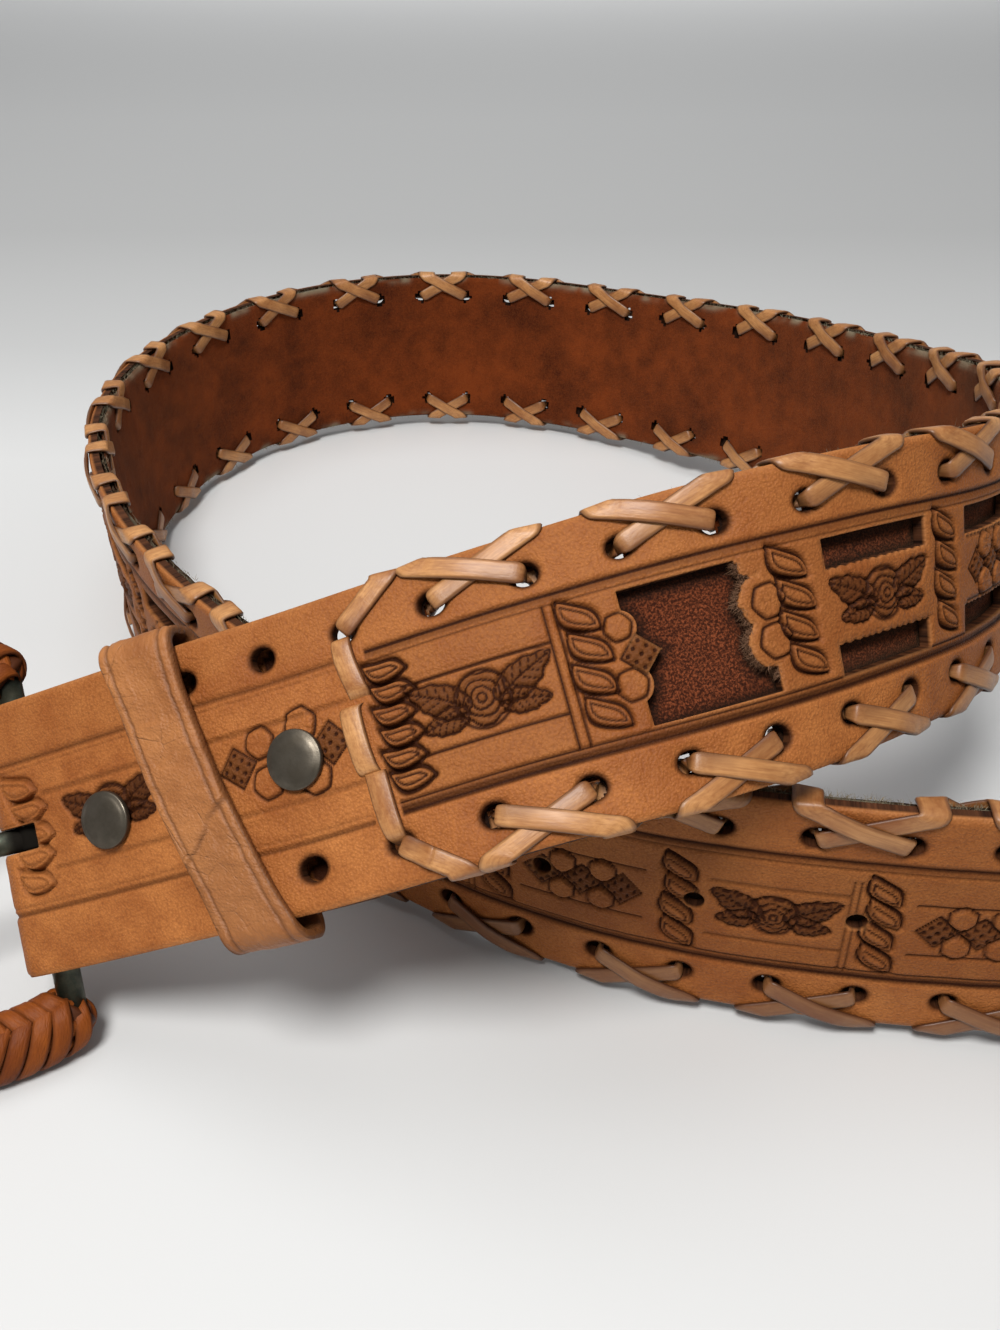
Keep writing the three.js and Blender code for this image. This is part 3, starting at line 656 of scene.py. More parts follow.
# Shader helpers.
class Shade:
    """A material's node tree with short calls for the few node kinds that it uses."""

    def __init__(self, name):
        self.material = bpy.data.materials.new(name)
        self.material.use_nodes = True
        self.tree = self.material.node_tree
        self.nodes, self.links = self.tree.nodes, self.tree.links
        self.surface = self.nodes["Principled BSDF"]

    def node(self, kind, inputs=None, **settings):
        made = self.nodes.new(kind)
        for key, value in settings.items():
            setattr(made, key, value)
        self.feed(made, inputs or {})
        return made

    def feed(self, made, inputs):
        for key, value in inputs.items():
            if isinstance(value, bpy.types.NodeSocket):
                self.links.new(value, made.inputs[key])
            else:
                made.inputs[key].default_value = value

    def value(self, name):
        return self.node("ShaderNodeAttribute", attribute_name=name).outputs["Fac"]

    def vector(self, name):
        return self.node("ShaderNodeAttribute", attribute_name=name).outputs["Vector"]

    def math(self, operation, a, b=0.0, c=0.0):
        return self.node("ShaderNodeMath", {0: a, 1: b, 2: c}, operation=operation).outputs[0]

    def spread(self, value, low, high, toLow=0.0, toHigh=1.0):
        made = self.node("ShaderNodeMapRange", {0: value, 1: low, 2: high, 3: toLow, 4: toHigh})
        return made.outputs[0]

    def noise(self, vector, scale, detail=4.0, rough=0.6):
        made = self.node("ShaderNodeTexNoise", {"Vector": vector, "Scale": scale, "Detail": detail, "Roughness": rough})
        return made.outputs["Fac"]

    def cells(self, vector, scale, feature="F1"):
        made = self.node("ShaderNodeTexVoronoi", {"Vector": vector, "Scale": scale}, feature=feature)
        return made.outputs["Distance"]

    def blend(self, factor, a, b, kind="MIX"):
        made = self.node("ShaderNodeMix", data_type="RGBA", blend_type=kind)
        for index, value in ((0, factor), (6, a), (7, b)):
            if isinstance(value, bpy.types.NodeSocket):
                self.links.new(value, made.inputs[index])
            else:
                made.inputs[index].default_value = value
        return made.outputs[2]

    def bump(self, height, strength, distance, normal=None):
        inputs = {"Height": height, "Strength": strength, "Distance": distance}
        if normal is not None:
            inputs["Normal"] = normal
        return self.node("ShaderNodeBump", inputs).outputs[0]

    def group(self, tree, inputs):
        made = self.nodes.new("ShaderNodeGroup")
        made.node_tree = tree
        self.feed(made, inputs)
        return made

    def laid(self):
        """Coordinates along the piece, and the uneven tone that every leather starts from."""
        lay = self.vector("lay")
        return lay, self.group(mottle, {"Vector": lay}).outputs["Fac"]

    def finish(self, **inputs):
        names = {"color": "Base Color", "roughness": "Roughness", "normal": "Normal", "metal": "Metallic",
                 "specular": "Specular IOR Level", "sheen": "Sheen Weight", "sheenRoughness": "Sheen Roughness",
                 "sheenTint": "Sheen Tint", "coat": "Coat Weight", "coatRoughness": "Coat Roughness"}
        self.feed(self.surface, {names[key]: value for key, value in inputs.items()})
        return self.material


class Group(Shade):
    """A shared effect with named sockets."""

    def __init__(self, name, inputs, outputs):
        self.tree = bpy.data.node_groups.new(name, "ShaderNodeTree")
        self.nodes, self.links = self.tree.nodes, self.tree.links
        for key, (kind, value) in inputs.items():
            socket = self.tree.interface.new_socket(key, in_out="INPUT", socket_type=kind)
            if value is not None:
                socket.default_value = value
        for key, kind in outputs.items():
            self.tree.interface.new_socket(key, in_out="OUTPUT", socket_type=kind)
        self.source = self.nodes.new("NodeGroupInput").outputs
        self.result = self.nodes.new("NodeGroupOutput").inputs

    def give(self, **outputs):
        for key, value in outputs.items():
            self.links.new(value, self.result[key])
        return self.tree


def grainGroup():
    """Leather grain: fine uneven pebbles with hair cell pits, as a height and as a tone."""
    g = Group("leather_grain", {"Vector": ("NodeSocketVector", None), "Size": ("NodeSocketFloat", 2700.0)},
              {"Height": "NodeSocketFloat", "Tone": "NodeSocketFloat"})
    place, size = g.source["Vector"], g.source["Size"]
    warp = g.node("ShaderNodeTexNoise", {"Vector": place, "Scale": 500.0, "Detail": 2.0}).outputs["Color"]
    scaled = g.node("ShaderNodeVectorMath", {0: warp, 3: 0.0004}, operation="SCALE").outputs[0]
    moved = g.node("ShaderNodeVectorMath", {0: place, 1: scaled}, operation="ADD").outputs[0]
    pebbles = g.cells(moved, size, "SMOOTH_F1")
    fine = g.noise(place, 4200.0, 3.0)
    pits = g.spread(g.cells(moved, 900.0), 0.0, 0.16)
    height = g.math("ADD", g.math("MULTIPLY", g.math("SUBTRACT", 1.0, pebbles), 0.7), g.math("MULTIPLY", fine, 0.35))
    height = g.math("MULTIPLY", height, g.spread(pits, 0, 1, 0.75, 1.0))
    return g.give(Height=height, Tone=g.spread(pebbles, 0.05, 0.75))


def mottleGroup():
    """Slow uneven tone of dyed and oiled leather, with finer marks in it."""
    g = Group("leather_mottle", {"Vector": ("NodeSocketVector", None)}, {"Fac": "NodeSocketFloat"})
    place = g.source["Vector"]
    slow = g.noise(place, 45.0, 3.0)
    mid = g.noise(place, 190.0, 4.0)
    fine = g.noise(place, 1400.0, 3.0)
    total = g.math("ADD", g.math("MULTIPLY", slow, 0.5), g.math("MULTIPLY", mid, 0.32))
    return g.give(Fac=g.math("ADD", total, g.math("MULTIPLY", fine, 0.18)))


grain = grainGroup()
mottle = mottleGroup()


def tooledLeather():
    m = Shade("tooled leather")
    lay, tone = m.laid()
    cell = m.group(grain, {"Vector": lay})
    clean = m.blend(m.spread(tone, 0.38, 0.64), (0.262, 0.078, 0.018, 1), (0.48, 0.176, 0.047, 1))
    clean = m.blend(m.math("MULTIPLY", cell.outputs["Tone"], 0.5), clean, (0.15, 0.041, 0.01, 1))
    # stain: real antique dye in the tooling, and painted shade on the tab where it is seen through the strap's bare
    # holes
    stain = m.math("ADD", m.value("stain"), m.math("MULTIPLY", m.math("SUBTRACT", tone, 0.5), 0.5))
    stainedAndShaded = m.blend(m.spread(stain, 0.08, 0.78), clean, (0.034, 0.01, 0.004, 1))
    rubbed = m.blend(m.math("MULTIPLY", m.value("worn"), m.spread(tone, 0.4, 0.6, 0.1, 0.5)), stainedAndShaded, (0.46, 0.2, 0.07, 1))
    cutFace = m.blend(m.spread(m.noise(lay, 900.0), 0.35, 0.65), (0.014, 0.005, 0.0025, 1), (0.09, 0.032, 0.013, 1))
    color = m.blend(m.value("wall"), rubbed, cutFace)
    height = m.math("SUBTRACT", cell.outputs["Height"], m.math("MULTIPLY", m.value("wall"), 0.2))
    normal = m.bump(height, 0.85, 0.00026)
    rough = m.math("ADD", m.spread(tone, 0.3, 0.7, 0.45, 0.6), m.math("MULTIPLY", m.value("wall"), 0.3))
    return m.finish(color=color, roughness=rough, normal=normal, specular=m.spread(stain, 0.1, 0.7, 0.13, 0.05))


def suede():
    m = Shade("suede")
    lay, tone = m.laid()
    nap = m.noise(lay, 2600.0, 5.0, 0.75)
    color = m.blend(m.spread(tone, 0.38, 0.62), (0.046, 0.0065, 0.001, 1), (0.172, 0.031, 0.0045, 1))
    color = m.blend(m.spread(nap, 0.4, 0.8, 0.0, 0.32), color, (0.3, 0.085, 0.017, 1))
    pile = m.blend(m.spread(nap, 0.46, 0.62), (0.02, 0.005, 0.003, 1), (0.27, 0.068, 0.025, 1))
    color = m.blend(m.math("MULTIPLY", m.value("deep"), 0.85), color, pile)
    # painted shade: near black where the shade value marks the lining deep in a window or under a hole
    color = m.blend(m.math("MULTIPLY", m.value("shade"), 0.93), color, (0.006, 0.003, 0.002, 1))
    color = m.blend(m.math("MULTIPLY", m.value("frayed"), 0.8), color, (0.26, 0.235, 0.16, 1))
    normal = m.bump(nap, 0.8, 0.0004)
    return m.finish(color=color, roughness=0.92, normal=normal, specular=0.12, sheen=0.12,
                    sheenRoughness=0.5, sheenTint=(0.75, 0.4, 0.2, 1))


def laceLeather():
    m = Shade("lace leather")
    lay, tone = m.laid()
    streak = m.node("ShaderNodeMapping", {"Vector": lay, "Scale": (1, 6, 1)}).outputs[0]
    lines = m.noise(streak, 420.0, 4.0)
    color = m.blend(m.spread(tone, 0.4, 0.62), (0.27, 0.094, 0.023, 1), (0.6, 0.3, 0.11, 1))
    color = m.blend(m.spread(lines, 0.46, 0.72, 0.0, 0.6), color, (0.2, 0.066, 0.018, 1))
    # stain darkens the laces: real age towards the free end, and painted shade where they go down into the holes
    color = m.blend(m.value("stain"), color, (0.1, 0.032, 0.012, 1))
    color = m.blend(m.math("MULTIPLY", m.value("rim"), 0.95), color, (0.05, 0.015, 0.006, 1))
    cell = m.group(grain, {"Vector": lay, "Size": 2600.0})
    normal = m.bump(m.math("ADD", cell.outputs["Height"], m.math("MULTIPLY", lines, 0.6)), 0.3, 0.0001)
    return m.finish(color=color, roughness=0.42, normal=normal, specular=0.45)


def keeperLeather():
    m = Shade("keeper leather")
    lay, tone = m.laid()
    cell = m.group(grain, {"Vector": lay, "Size": 2300.0})
    creases = m.node("ShaderNodeTexVoronoi", {"Vector": lay, "Scale": 170.0, "Randomness": 1.0},
                     feature="DISTANCE_TO_EDGE").outputs["Distance"]
    crease = m.math("MULTIPLY", m.spread(creases, 0.0, 0.03, 1.0, 0.0), m.spread(tone, 0.5, 0.62))
    color = m.blend(m.spread(tone, 0.36, 0.64), (0.24, 0.082, 0.022, 1), (0.39, 0.155, 0.048, 1))
    color = m.blend(m.math("MULTIPLY", crease, 0.25), color, (0.16, 0.055, 0.018, 1))
    color = m.blend(m.value("stain"), color, (0.07, 0.024, 0.009, 1))
    height = m.math("SUBTRACT", cell.outputs["Height"], m.math("MULTIPLY", crease, 0.8))
    return m.finish(color=color, roughness=0.5, normal=m.bump(height, 0.8, 0.00028), specular=0.3)


def braidLeather():
    m = Shade("braid leather")
    lay, tone = m.laid()
    color = m.blend(m.spread(tone, 0.36, 0.64), (0.11, 0.021, 0.0022, 1), (0.28, 0.07, 0.0075, 1))
    color = m.blend(m.math("MULTIPLY", m.value("rim"), 0.9), color, (0.05, 0.014, 0.005, 1))
    cell = m.group(grain, {"Vector": lay, "Size": 2400.0})
    return m.finish(color=color, roughness=0.54, normal=m.bump(cell.outputs["Height"], 0.6, 0.0002), specular=0.18)


def agedMetal(name, base, dark, patina, amount):
    m = Shade(name)
    place = m.node("ShaderNodeTexCoord").outputs["Object"]
    tone = m.noise(place, 260.0, 5.0)
    fine = m.noise(place, 2200.0, 4.0)
    scratch = m.noise(m.node("ShaderNodeMapping", {"Vector": place, "Scale": (1, 14, 1)}).outputs[0], 900.0, 2.0)
    color = m.blend(m.spread(tone, 0.35, 0.65), dark, base)
    color = m.blend(m.spread(fine, 0.55, 0.75, 0.0, amount), color, patina)
    # painted shade: where the shade value is set (the prong's eye and root in the strap's slot) the metal is darkened,
    # and made rougher
    color = m.blend(m.value("shade"), color, (0.016, 0.013, 0.01, 1))
    rough = m.math("ADD", m.spread(tone, 0.3, 0.7, 0.5, 0.32), m.math("MULTIPLY", m.value("shade"), 0.45))
    height = m.math("ADD", m.math("MULTIPLY", fine, 0.6), m.math("MULTIPLY", scratch, 0.4))
    return m.finish(color=color, roughness=rough, metal=0.85, normal=m.bump(height, 0.25, 0.00008))


materials = {
    "strap": tooledLeather(),
    "suede": suede(),
    "lace": laceLeather(),
    "keeper": keeperLeather(),
    "braid": braidLeather(),
    "nickel": agedMetal("dark nickel", (0.13, 0.112, 0.088, 1), (0.08, 0.067, 0.05, 1), (0.045, 0.038, 0.027, 1), 0.25),
    "bronze": agedMetal("tarnished bar", (0.11, 0.105, 0.07, 1), (0.03, 0.035, 0.028, 1), (0.04, 0.075, 0.055, 1), 0.7),
}

print("stage: strap")
tabEnd = foldCentre - foldArc - tabLength
strapPieces = (  # name, start, end, vertex distance along and across
    ("strap_buckle_end", -6, 112, 0.25, 0.25),
    ("strap_front", 112, 212, 0.26, 0.25),
    ("strap_back", 212, 748, 1.0, 0.6),
    ("strap_free_end", 748, strapLength, 0.36, 0.36),
)
for strapRow in strapPieces:
    strapPiece(*strapRow)


def tabPiece():
    """The turned-back tab, plain on its outer side, from the bar's fold to its end."""
    q = np.concatenate([np.linspace(tabEnd, foldCentre - foldArc, 60), np.linspace(foldCentre - foldArc, -6, 24)[1:]])
    w = np.linspace(-half, half, 61)

    def cut(x, y):
        return boxDistance(x, y, tabSlotEnd, slotEnd, -slotHalf, slotHalf)

    def shape(s, w, d):
        height = 0.1 * noise(s, w, 8, 5, 2) - 0.4 * ridge(half - np.abs(w), 0.5)
        worn = ridge(half - np.abs(w), 0.5)
        # painted shade: the tab is made dark where it is seen through the bare holes of the strap above it
        under = cutDistance(2 * foldCentre - foldArc - s, w, 5, 66)  # dark below the bare holes
        return height, {"stain": np.where(under < 0.5, 1.0, 0.12), "worn": worn, "lay": np.stack([s, w, height], 1) * mm}

    gs, gw, gn, faces, values = sheetSurface(q, w, cut, shape, leather, [-6])
    made = meshObject("strap_tab", onTurnedStrap(gs, gw, gn), faces, values)
    return dress(made, "belt", "tooled_leather", materials["strap"], "tooled_strap")


tab = tabPiece()

print("stage: lining")
liningOuter = -leather - gap
liningInner = liningOuter - lining


def liningPiece(name, start, end, pitch, acrossPitch, side):
    """Suede: napped on the side that is seen. side 1 is the face behind the windows, -1 the inner face."""
    s = np.linspace(start, end, int(round((end - start) / pitch)) + 1)
    w = np.linspace(-half + 0.4, half - 0.4, int(round(beltWidth / acrossPitch)) + 1)

    def cut(x, y):
        d = np.full(x.shape, 50.0)
        for edge, sign in (("upper", 1), ("lower", -1)):
            for place in laceHole(edge, np.arange(1, lastHole + 1)):
                if start - 4 < place < end + 4:
                    at = (np.abs(x - place) < 5) & (sign * y > 9)
                    d[at] = np.minimum(d[at], roundOf(x[at], y[at], place, sign * holeAcross, holeRadius))
        return d

    gs, gw = (a.ravel() for a in np.meshgrid(s, w, indexing="ij"))
    faces = gridFaces(len(s), len(w))
    faces = faces[cut(gs[faces].mean(1), gw[faces].mean(1)) > 0]
    edge = half - 0.4 - np.abs(gw)
    fuzz = 0.16 * noise(gs, gw, 1.1, 41, 3) + 0.2 * noise(gs, gw, 7, 45, 2)
    level = (liningOuter if side > 0 else liningInner) + side * (fuzz - 0.5 * ridge(edge, 0.6))
    if end > strapLength - 40:
        gw = gw * tipShare(gs + 8)
    if side < 0:
        faces = faces[:, ::-1]
    shade = np.zeros(len(gs))
    if side > 0:
        # painted shade: the lining is made near black along each window's edge, wider under its top and left walls
        # where their shadow falls, and wholly dark where a hole above it is seen into
        inside = -windowDistance(gs, gw, start, end)
        above = np.minimum(-windowDistance(gs, gw + 0.9, start, end), -windowDistance(gs - 0.9, gw, start, end))
        shade = np.maximum(ridge(np.maximum(inside, 0), 0.8), 0.85 * ridge(np.maximum(above, 0), 1.2))
        hole = (cutDistance(gs, gw, start, end) < 0.4) & (inside < -0.6)
        shade = np.maximum(shade, hole)
    frayed = ridge(edge, 1.1) * smoothstep(-0.3, 0.5, noise(gs, gw, 4, 47, 2))
    lay = np.stack([gs, gw, level], 1) * mm
    values = {"deep": np.full(len(gs), max(side, 0)), "shade": shade, "frayed": frayed, "lay": lay}
    made = meshObject(name, onStrap(gs, gw, level), faces, values)
    return dress(made, "belt", "suede", materials["suede"], "suede_lining")


liningPieces = (  # name, start, end, vertex distance along and across, side
    ("lining_behind_windows", 71.5, 212, 0.5, 0.5, 1),
    ("lining_behind_back", 212, 955, 2.2, 1.8, 1),
    ("lining_inner_start", 71.5, 270, 1.2, 0.9, -1),
    ("lining_inner_back", 270, 600, 0.9, 0.8, -1),
    ("lining_inner_end", 600, 955, 1.3, 0.9, -1),
)
for liningRow in liningPieces:
    liningPiece(*liningRow)

print("stage: lacing")


def smoothPath(rows, each):
    """Points on a smooth line through the rows (Catmull-Rom)."""
    rows = np.asarray(rows, float)
    padded = np.concatenate([2 * rows[:1] - rows[1:2], rows, 2 * rows[-1:] - rows[-2:-1]])
    t = np.linspace(0, len(rows) - 1, (len(rows) - 1) * each + 1)
    i = np.clip(t.astype(int), 0, len(rows) - 2)
    f = (t - i)[:, None]
    a, b, c, d = (padded[i + k] for k in range(4))
    return 0.5 * (2 * b + (c - a) * f + (2 * a - 5 * b + 4 * c - d) * f**2 + (3 * b - a - 3 * c + d) * f**3)


def stripMesh(rows, each, thickness, sides=10):
    """A flat strip: rows give place, half width vector and outward vector, nine numbers each."""
    line = smoothPath(rows, each)
    place, wide, out = line[:, :3], line[:, 3:6], line[:, 6:9]
    out = out / np.linalg.norm(out, axis=1)[:, None]
    angle = np.arange(sides) / sides * 2 * math.pi
    x = np.sign(np.cos(angle)) * np.abs(np.cos(angle)) ** 0.35
    y = np.sign(np.sin(angle)) * np.abs(np.sin(angle)) ** 0.42
    cup = -0.09 * x * x
    points = place[:, None] + wide[:, None] * x[None, :, None] + out[:, None] * ((y * thickness / 2 + cup)[None, :, None])
    faces = gridFaces(len(line), sides, closeColumns=True)
    rim = np.broadcast_to(np.abs(x) ** 7, points.shape[:2]).ravel()
    run = np.repeat(np.arange(len(line)) * 0.5, sides)
    side = np.tile(x * 1.7, len(line))
    return points.reshape(-1, 3), faces, rim, run, side


laceHalf = 1.62
laceThick = 0.7
outerLevel = 0.42
innerLevel = liningInner - 0.42


def laceRows(edge, forward):
    """Stations of one lace in strap coordinates: hole, over the edge, hole, one side after the other."""
    sign = 1 if edge == "upper" else -1
    drift = np.random.default_rng(5 if forward else 6)
    onTop = forward == (edge == "lower")
    firstLead = 8.5 if edge == "upper" else 8
    spans = [(laceHole(edge, 0), laceHole(edge, 0) + firstLead, laceHole(edge, 1))] if forward else []
    for k in range(1 if forward else 0, lastHole - 1, 2):
        lead = 1.7 + drift.uniform(-0.5, 0.5)
        spans.append((laceHole(edge, k), laceHole(edge, k + 1) + (lead if forward else -lead), laceHole(edge, k + 2)))
    rows = []

    def add(place, wide, out):
        flip = np.array([1, sign, 1])
        rows.append([*(place * flip), *(wide * flip), *(out * flip)])

    for start, turn, end in spans:
        for part, holeAt in ((0, start), (1, end)):
            face = (1 if forward else -1) * (1 if part == 0 else -1)
            level = outerLevel if face > 0 else innerLevel
            hole, top = np.array([holeAt, holeAcross, level]), np.array([turn, half, level])
            length = np.linalg.norm(top - hole)
            away = (top - hole) / length  # from the hole to the edge
            lean = math.copysign(1, away[0])
            square = np.array([abs(away[1]), -abs(away[0]) * lean, 0])
            normal = np.array([0, 0, face])
            lift = normal * (laceThick + 0.08 if onTop else 0)

            def oblique(degrees):
                """Half width vector of the band where it is cut at an angle to the edge."""
                aim = math.radians(degrees)
                cut = np.array([math.cos(aim), -math.sin(aim) * lean, 0])
                return cut * min(laceHalf / abs(cut @ square), laceHalf * 1.5)

            full = square * laceHalf
            steps = [
                (hole - normal * 2.0 + away * 0.1, full * 0.6, normal * 0.2 - away),
                (hole - normal * 0.45 + away * 0.3, full * 0.85, normal * 0.5 - away),
                (hole + away * 1.1, full, normal),
                (hole + away * 3.2 + lift * 0.3, full, normal),
                (hole + away * length * 0.5 + lift, full, normal),
                (top - away * 4.2 + lift * 0.6, oblique(62), normal),
                (top - away * 2.3 + lift * 0.2, oblique(42), normal),
                (top - away * 0.8, oblique(20), normal),
                (top + (0, 0.45, -face * 0.5), oblique(5), np.array([0, 0.8, 0.6 * face])),
            ]
            if part == 1:
                steps.reverse()
            for step in steps:
                add(*step)
            if part == 0:
                add(np.array([turn, half + 0.6, (outerLevel + innerLevel) / 2]), oblique(0), np.array([0, 1, 0]))
    return rows


def lacePiece(edge, forward):
    rows = laceRows(edge, forward)
    for a, b in zip(rows, rows[1:]):
        if np.dot(a[3:6], b[3:6]) < 0:
            b[3:6] = [-v for v in b[3:6]]
    points, faces, rim, run, side = stripMesh(rows, 3, laceThick)
    name = f"{edge}_lace_{'forward' if forward else 'return'}"
    old = 0.62 * smoothstep(720, 760, points[:, 0]) * (0.3 if edge == "upper" else 1)
    # painted shade where the lace goes down into a hole
    holeShade = 0.5 * smoothstep(holeAcross + 2.2, holeAcross, np.abs(points[:, 1]))  # dark where it enters a hole
    values = {"rim": rim, "stain": np.maximum(old, holeShade), "lay": np.stack([run, side, 0 * run], 1) * mm}
    made = meshObject("lacing_" + name, onStrap(*points.T), faces, values)
    return dress(made, "belt", "lace", materials["lace"], name)


for edgeName in ("upper", "lower"):
    for isForward in (True, False):
        lacePiece(edgeName, isForward)


def crossLacePiece():
    """Upright lace right of the keeper: three runs between the first holes, dipping into two cuts."""
    wide = np.array([1.68, 0, 0])
    path = [(67.4, 15.6, -1.6), (67.2, 14.6, 0.5), (67.3, 11.5, 0.75), (67.9, 8, 0.7), (68.1, 6.4, 0.2), (67.6, 5.2, -1.1),
            (66.6, 4.9, 0.1), (66.2, 3.9, 0.6), (66.3, 0, 0.8), (66.6, -3.6, 0.6), (66.9, -5.1, 0.1), (67.2, -5.5, -1.1),
            (67.6, -5.3, 0.1), (67.9, -6.6, 0.6), (68.2, -11, 0.8), (68.6, -14.6, 0.55), (68.8, -16, -1.5)]
    rows = []
    for k, (s, w, n) in enumerate(path):
        ends = 0.62 if k in (0, len(path) - 1) else 0.9 if k in (1, len(path) - 2) else 1
        rows.append([s, w, n, *(wide * ends), 0, 0, 1])
    points, faces, rim, run, side = stripMesh(rows, 8, 0.95, 12)
    # painted shade where the lace dips down into the cuts
    dipShade = 0.7 * smoothstep(0.3, -0.6, points[:, 2])
    values = {"rim": rim, "stain": dipShade, "lay": np.stack([run, side, 0 * run], 1) * mm}
    made = meshObject("cross_lacing", onStrap(*points.T), faces, values)
    return dress(made, "belt", "lace", materials["lace"], "cross_lace")


crossLacePiece()

print("stage: keeper")
keeper = {"width": 12, "thick": 1.8, "overhang": 2, "play": 0.5, "corner": 2.2}


def keeperLoop():
    """Rounded four-sided path round strap and tab, as (w, n, outward w, outward n)."""
    top, bottom = keeper["play"], tabBack - keeper["play"]
    reach, radius = half + keeper["overhang"], keeper["corner"]
    line = []

    def straight(a, b, count, out):
        for t in np.linspace(0, 1, count, endpoint=False):
            line.append((*(np.array(a) * (1 - t) + np.array(b) * t), *out))

    def corner(w, n, turn):
        for t in np.linspace(0, 90, 14, endpoint=False):
            angle = math.radians(turn + t)
            line.append((w + radius * math.cos(angle), n + radius * math.sin(angle), math.cos(angle), math.sin(angle)))

    corner(reach - radius, top - radius, 0)
    straight((reach - radius, top), (-reach + radius, top), 150, (0, 1))
    corner(-reach + radius, top - radius, 90)
    straight((-reach, top - radius), (-reach, bottom + radius), 6, (-1, 0))
    corner(-reach + radius, bottom + radius, 180)
    straight((-reach + radius, bottom), (reach - radius, bottom), 60, (0, -1))
    corner(reach - radius, bottom + radius, 270)
    straight((reach, bottom + radius), (reach, top - radius), 6, (1, 0))
    return np.array(line)


def keeperPiece():
    line = keeperLoop()
    halfW, thick = keeper["width"] / 2, keeper["thick"]
    outer = np.linspace(-halfW + 0.35, halfW - 0.35, 52)
    inner = np.linspace(halfW - 0.35, -halfW + 0.35, 10)
    v = np.concatenate([outer, [halfW - 0.08, halfW, halfW - 0.1], inner, [-halfW + 0.1, -halfW, -halfW + 0.08]])
    lift = np.concatenate([np.full(52, thick), [thick - 0.3, thick / 2, 0.2], np.zeros(10), [0.2, thick / 2, thick - 0.3]])
    face = np.concatenate([np.ones(52), np.zeros(16)])
    w, n = line[:, 0][:, None], line[:, 1][:, None]
    ow, on = line[:, 2][:, None], line[:, 3][:, None]
    run = np.cumsum(np.hypot(*np.diff(line[:, :2], axis=0, append=line[:1, :2]).T))[:, None]
    vv, ff = v[None, :] + 0 * w, face[None, :] + 0 * w
    edge = halfW - np.abs(vv)
    wrinkle = 0.3 * noise(run * 1.0, vv * 0.6, 2.6, 61, 4) + 0.16 * (1 - np.abs(noise(run, vv, 4.4, 67, 2))) ** 4
    crease = -0.26 * ridge(np.abs(vv) - (halfW - 1.7), 0.28)
    fold = w + 6.8 - 0.7 * vv + 0.9 * noise(vv, vv * 0, 3.1, 63, 2)  # the loop's end laps over its start
    overlap = smoothstep(-0.5, 0.4, fold) * 0.42 * (on > 0.5)
    lapLine = ridge(fold, 0.32) * (on > 0.5) * (0.55 + 0.45 * noise(vv, vv * 0, 1.6, 64, 2))
    height = lift[None, :] + ff * (wrinkle + crease - 0.35 * ridge(edge, 0.45) - 0.3 + overlap - 0.2 * lapLine)
    bulge = 0.5 * ridge(w, 12) * (on > 0.5)
    centre = 37.8 - 0.27 * w + 0.0022 * w * w
    flare = 1 + 0.1 * smoothstep(14, 24, w) + 0.06 * smoothstep(-16, -24, w)
    s = centre + vv * flare
    points = onStrap(s, w + ow * height, n + on * (height + bulge))
    lowerFace = smoothstep(-4, -9, w) * (on > 0.5)
    stain = np.maximum(0.6 * ridge(np.abs(vv) - (halfW - 1.7), 0.3), 0.6 * lapLine) * ff + 0.6 * (1 - ff)
    stain = np.maximum(stain, 0.16 * lowerFace + 0.7 * ridge(edge, 0.22) * ff)
    values = {"stain": stain.ravel(), "lay": np.stack([(run + 0 * vv).ravel(), vv.ravel(), height.ravel()], 1) * mm}
    faces = gridFaces(len(line), len(v), closeRows=True, closeColumns=True)
    made = meshObject("keeper_leather", points.reshape(-1, 3), faces, values)
    return dress(made, "belt", "tooled_leather", materials["keeper"], "keeper_loop")


keeperPiece()

print("stage: snaps")
snapProfile = smoothPath([(0, 1.95, 0), (2.2, 1.9, 0), (3.5, 1.72, 0), (4.15, 1.5, 0), (4.4, 1.42, 0), (4.68, 1.3, 0),
                          (4.8, 0.95, 0), (4.72, 0.5, 0), (4.3, 0.25, 0), (3, 0.2, 0)], 5)[:, :2]


def snapPiece(name, s, w, tilt):
    """A slightly domed cap with a soft rolled rim."""
    angle = np.arange(72) / 72 * 2 * math.pi
    r, n = snapProfile[:, 0][:, None] * 0.95, snapProfile[:, 1][:, None]
    x, y = r * np.cos(angle), r * np.sin(angle)
    level = n + tilt[0] * x + tilt[1] * y + 0.03 * noise(x + 20, y + 20, 1.6, 71) * (r < 4.3)
    points = onStrap(s + x, w + y, level).reshape(-1, 3)
    faces = gridFaces(len(r), 72, closeColumns=True)
    made = meshObject("dome_" + name, points, faces)
    return dress(made, "belt", "snap", materials["nickel"], name)


snapPiece("snap_cap_left", 20.9, -0.9, (0.0, 0.03))
snapPiece("snap_cap_right", 56.1, -0.1, (0.01, 0.02))

print("stage: buckle")


def ringCentre(count):
    """Centre line of the frame from its upper end to its lower end, with size, in the buckle's directions."""
    mirror = ringLine[:-1][::-1] * (1, -1, 1)
    return smoothPath(np.concatenate([ringLine, mirror]), count)


braidTrim = 2.4  # the lacing stops short of the frame's ends


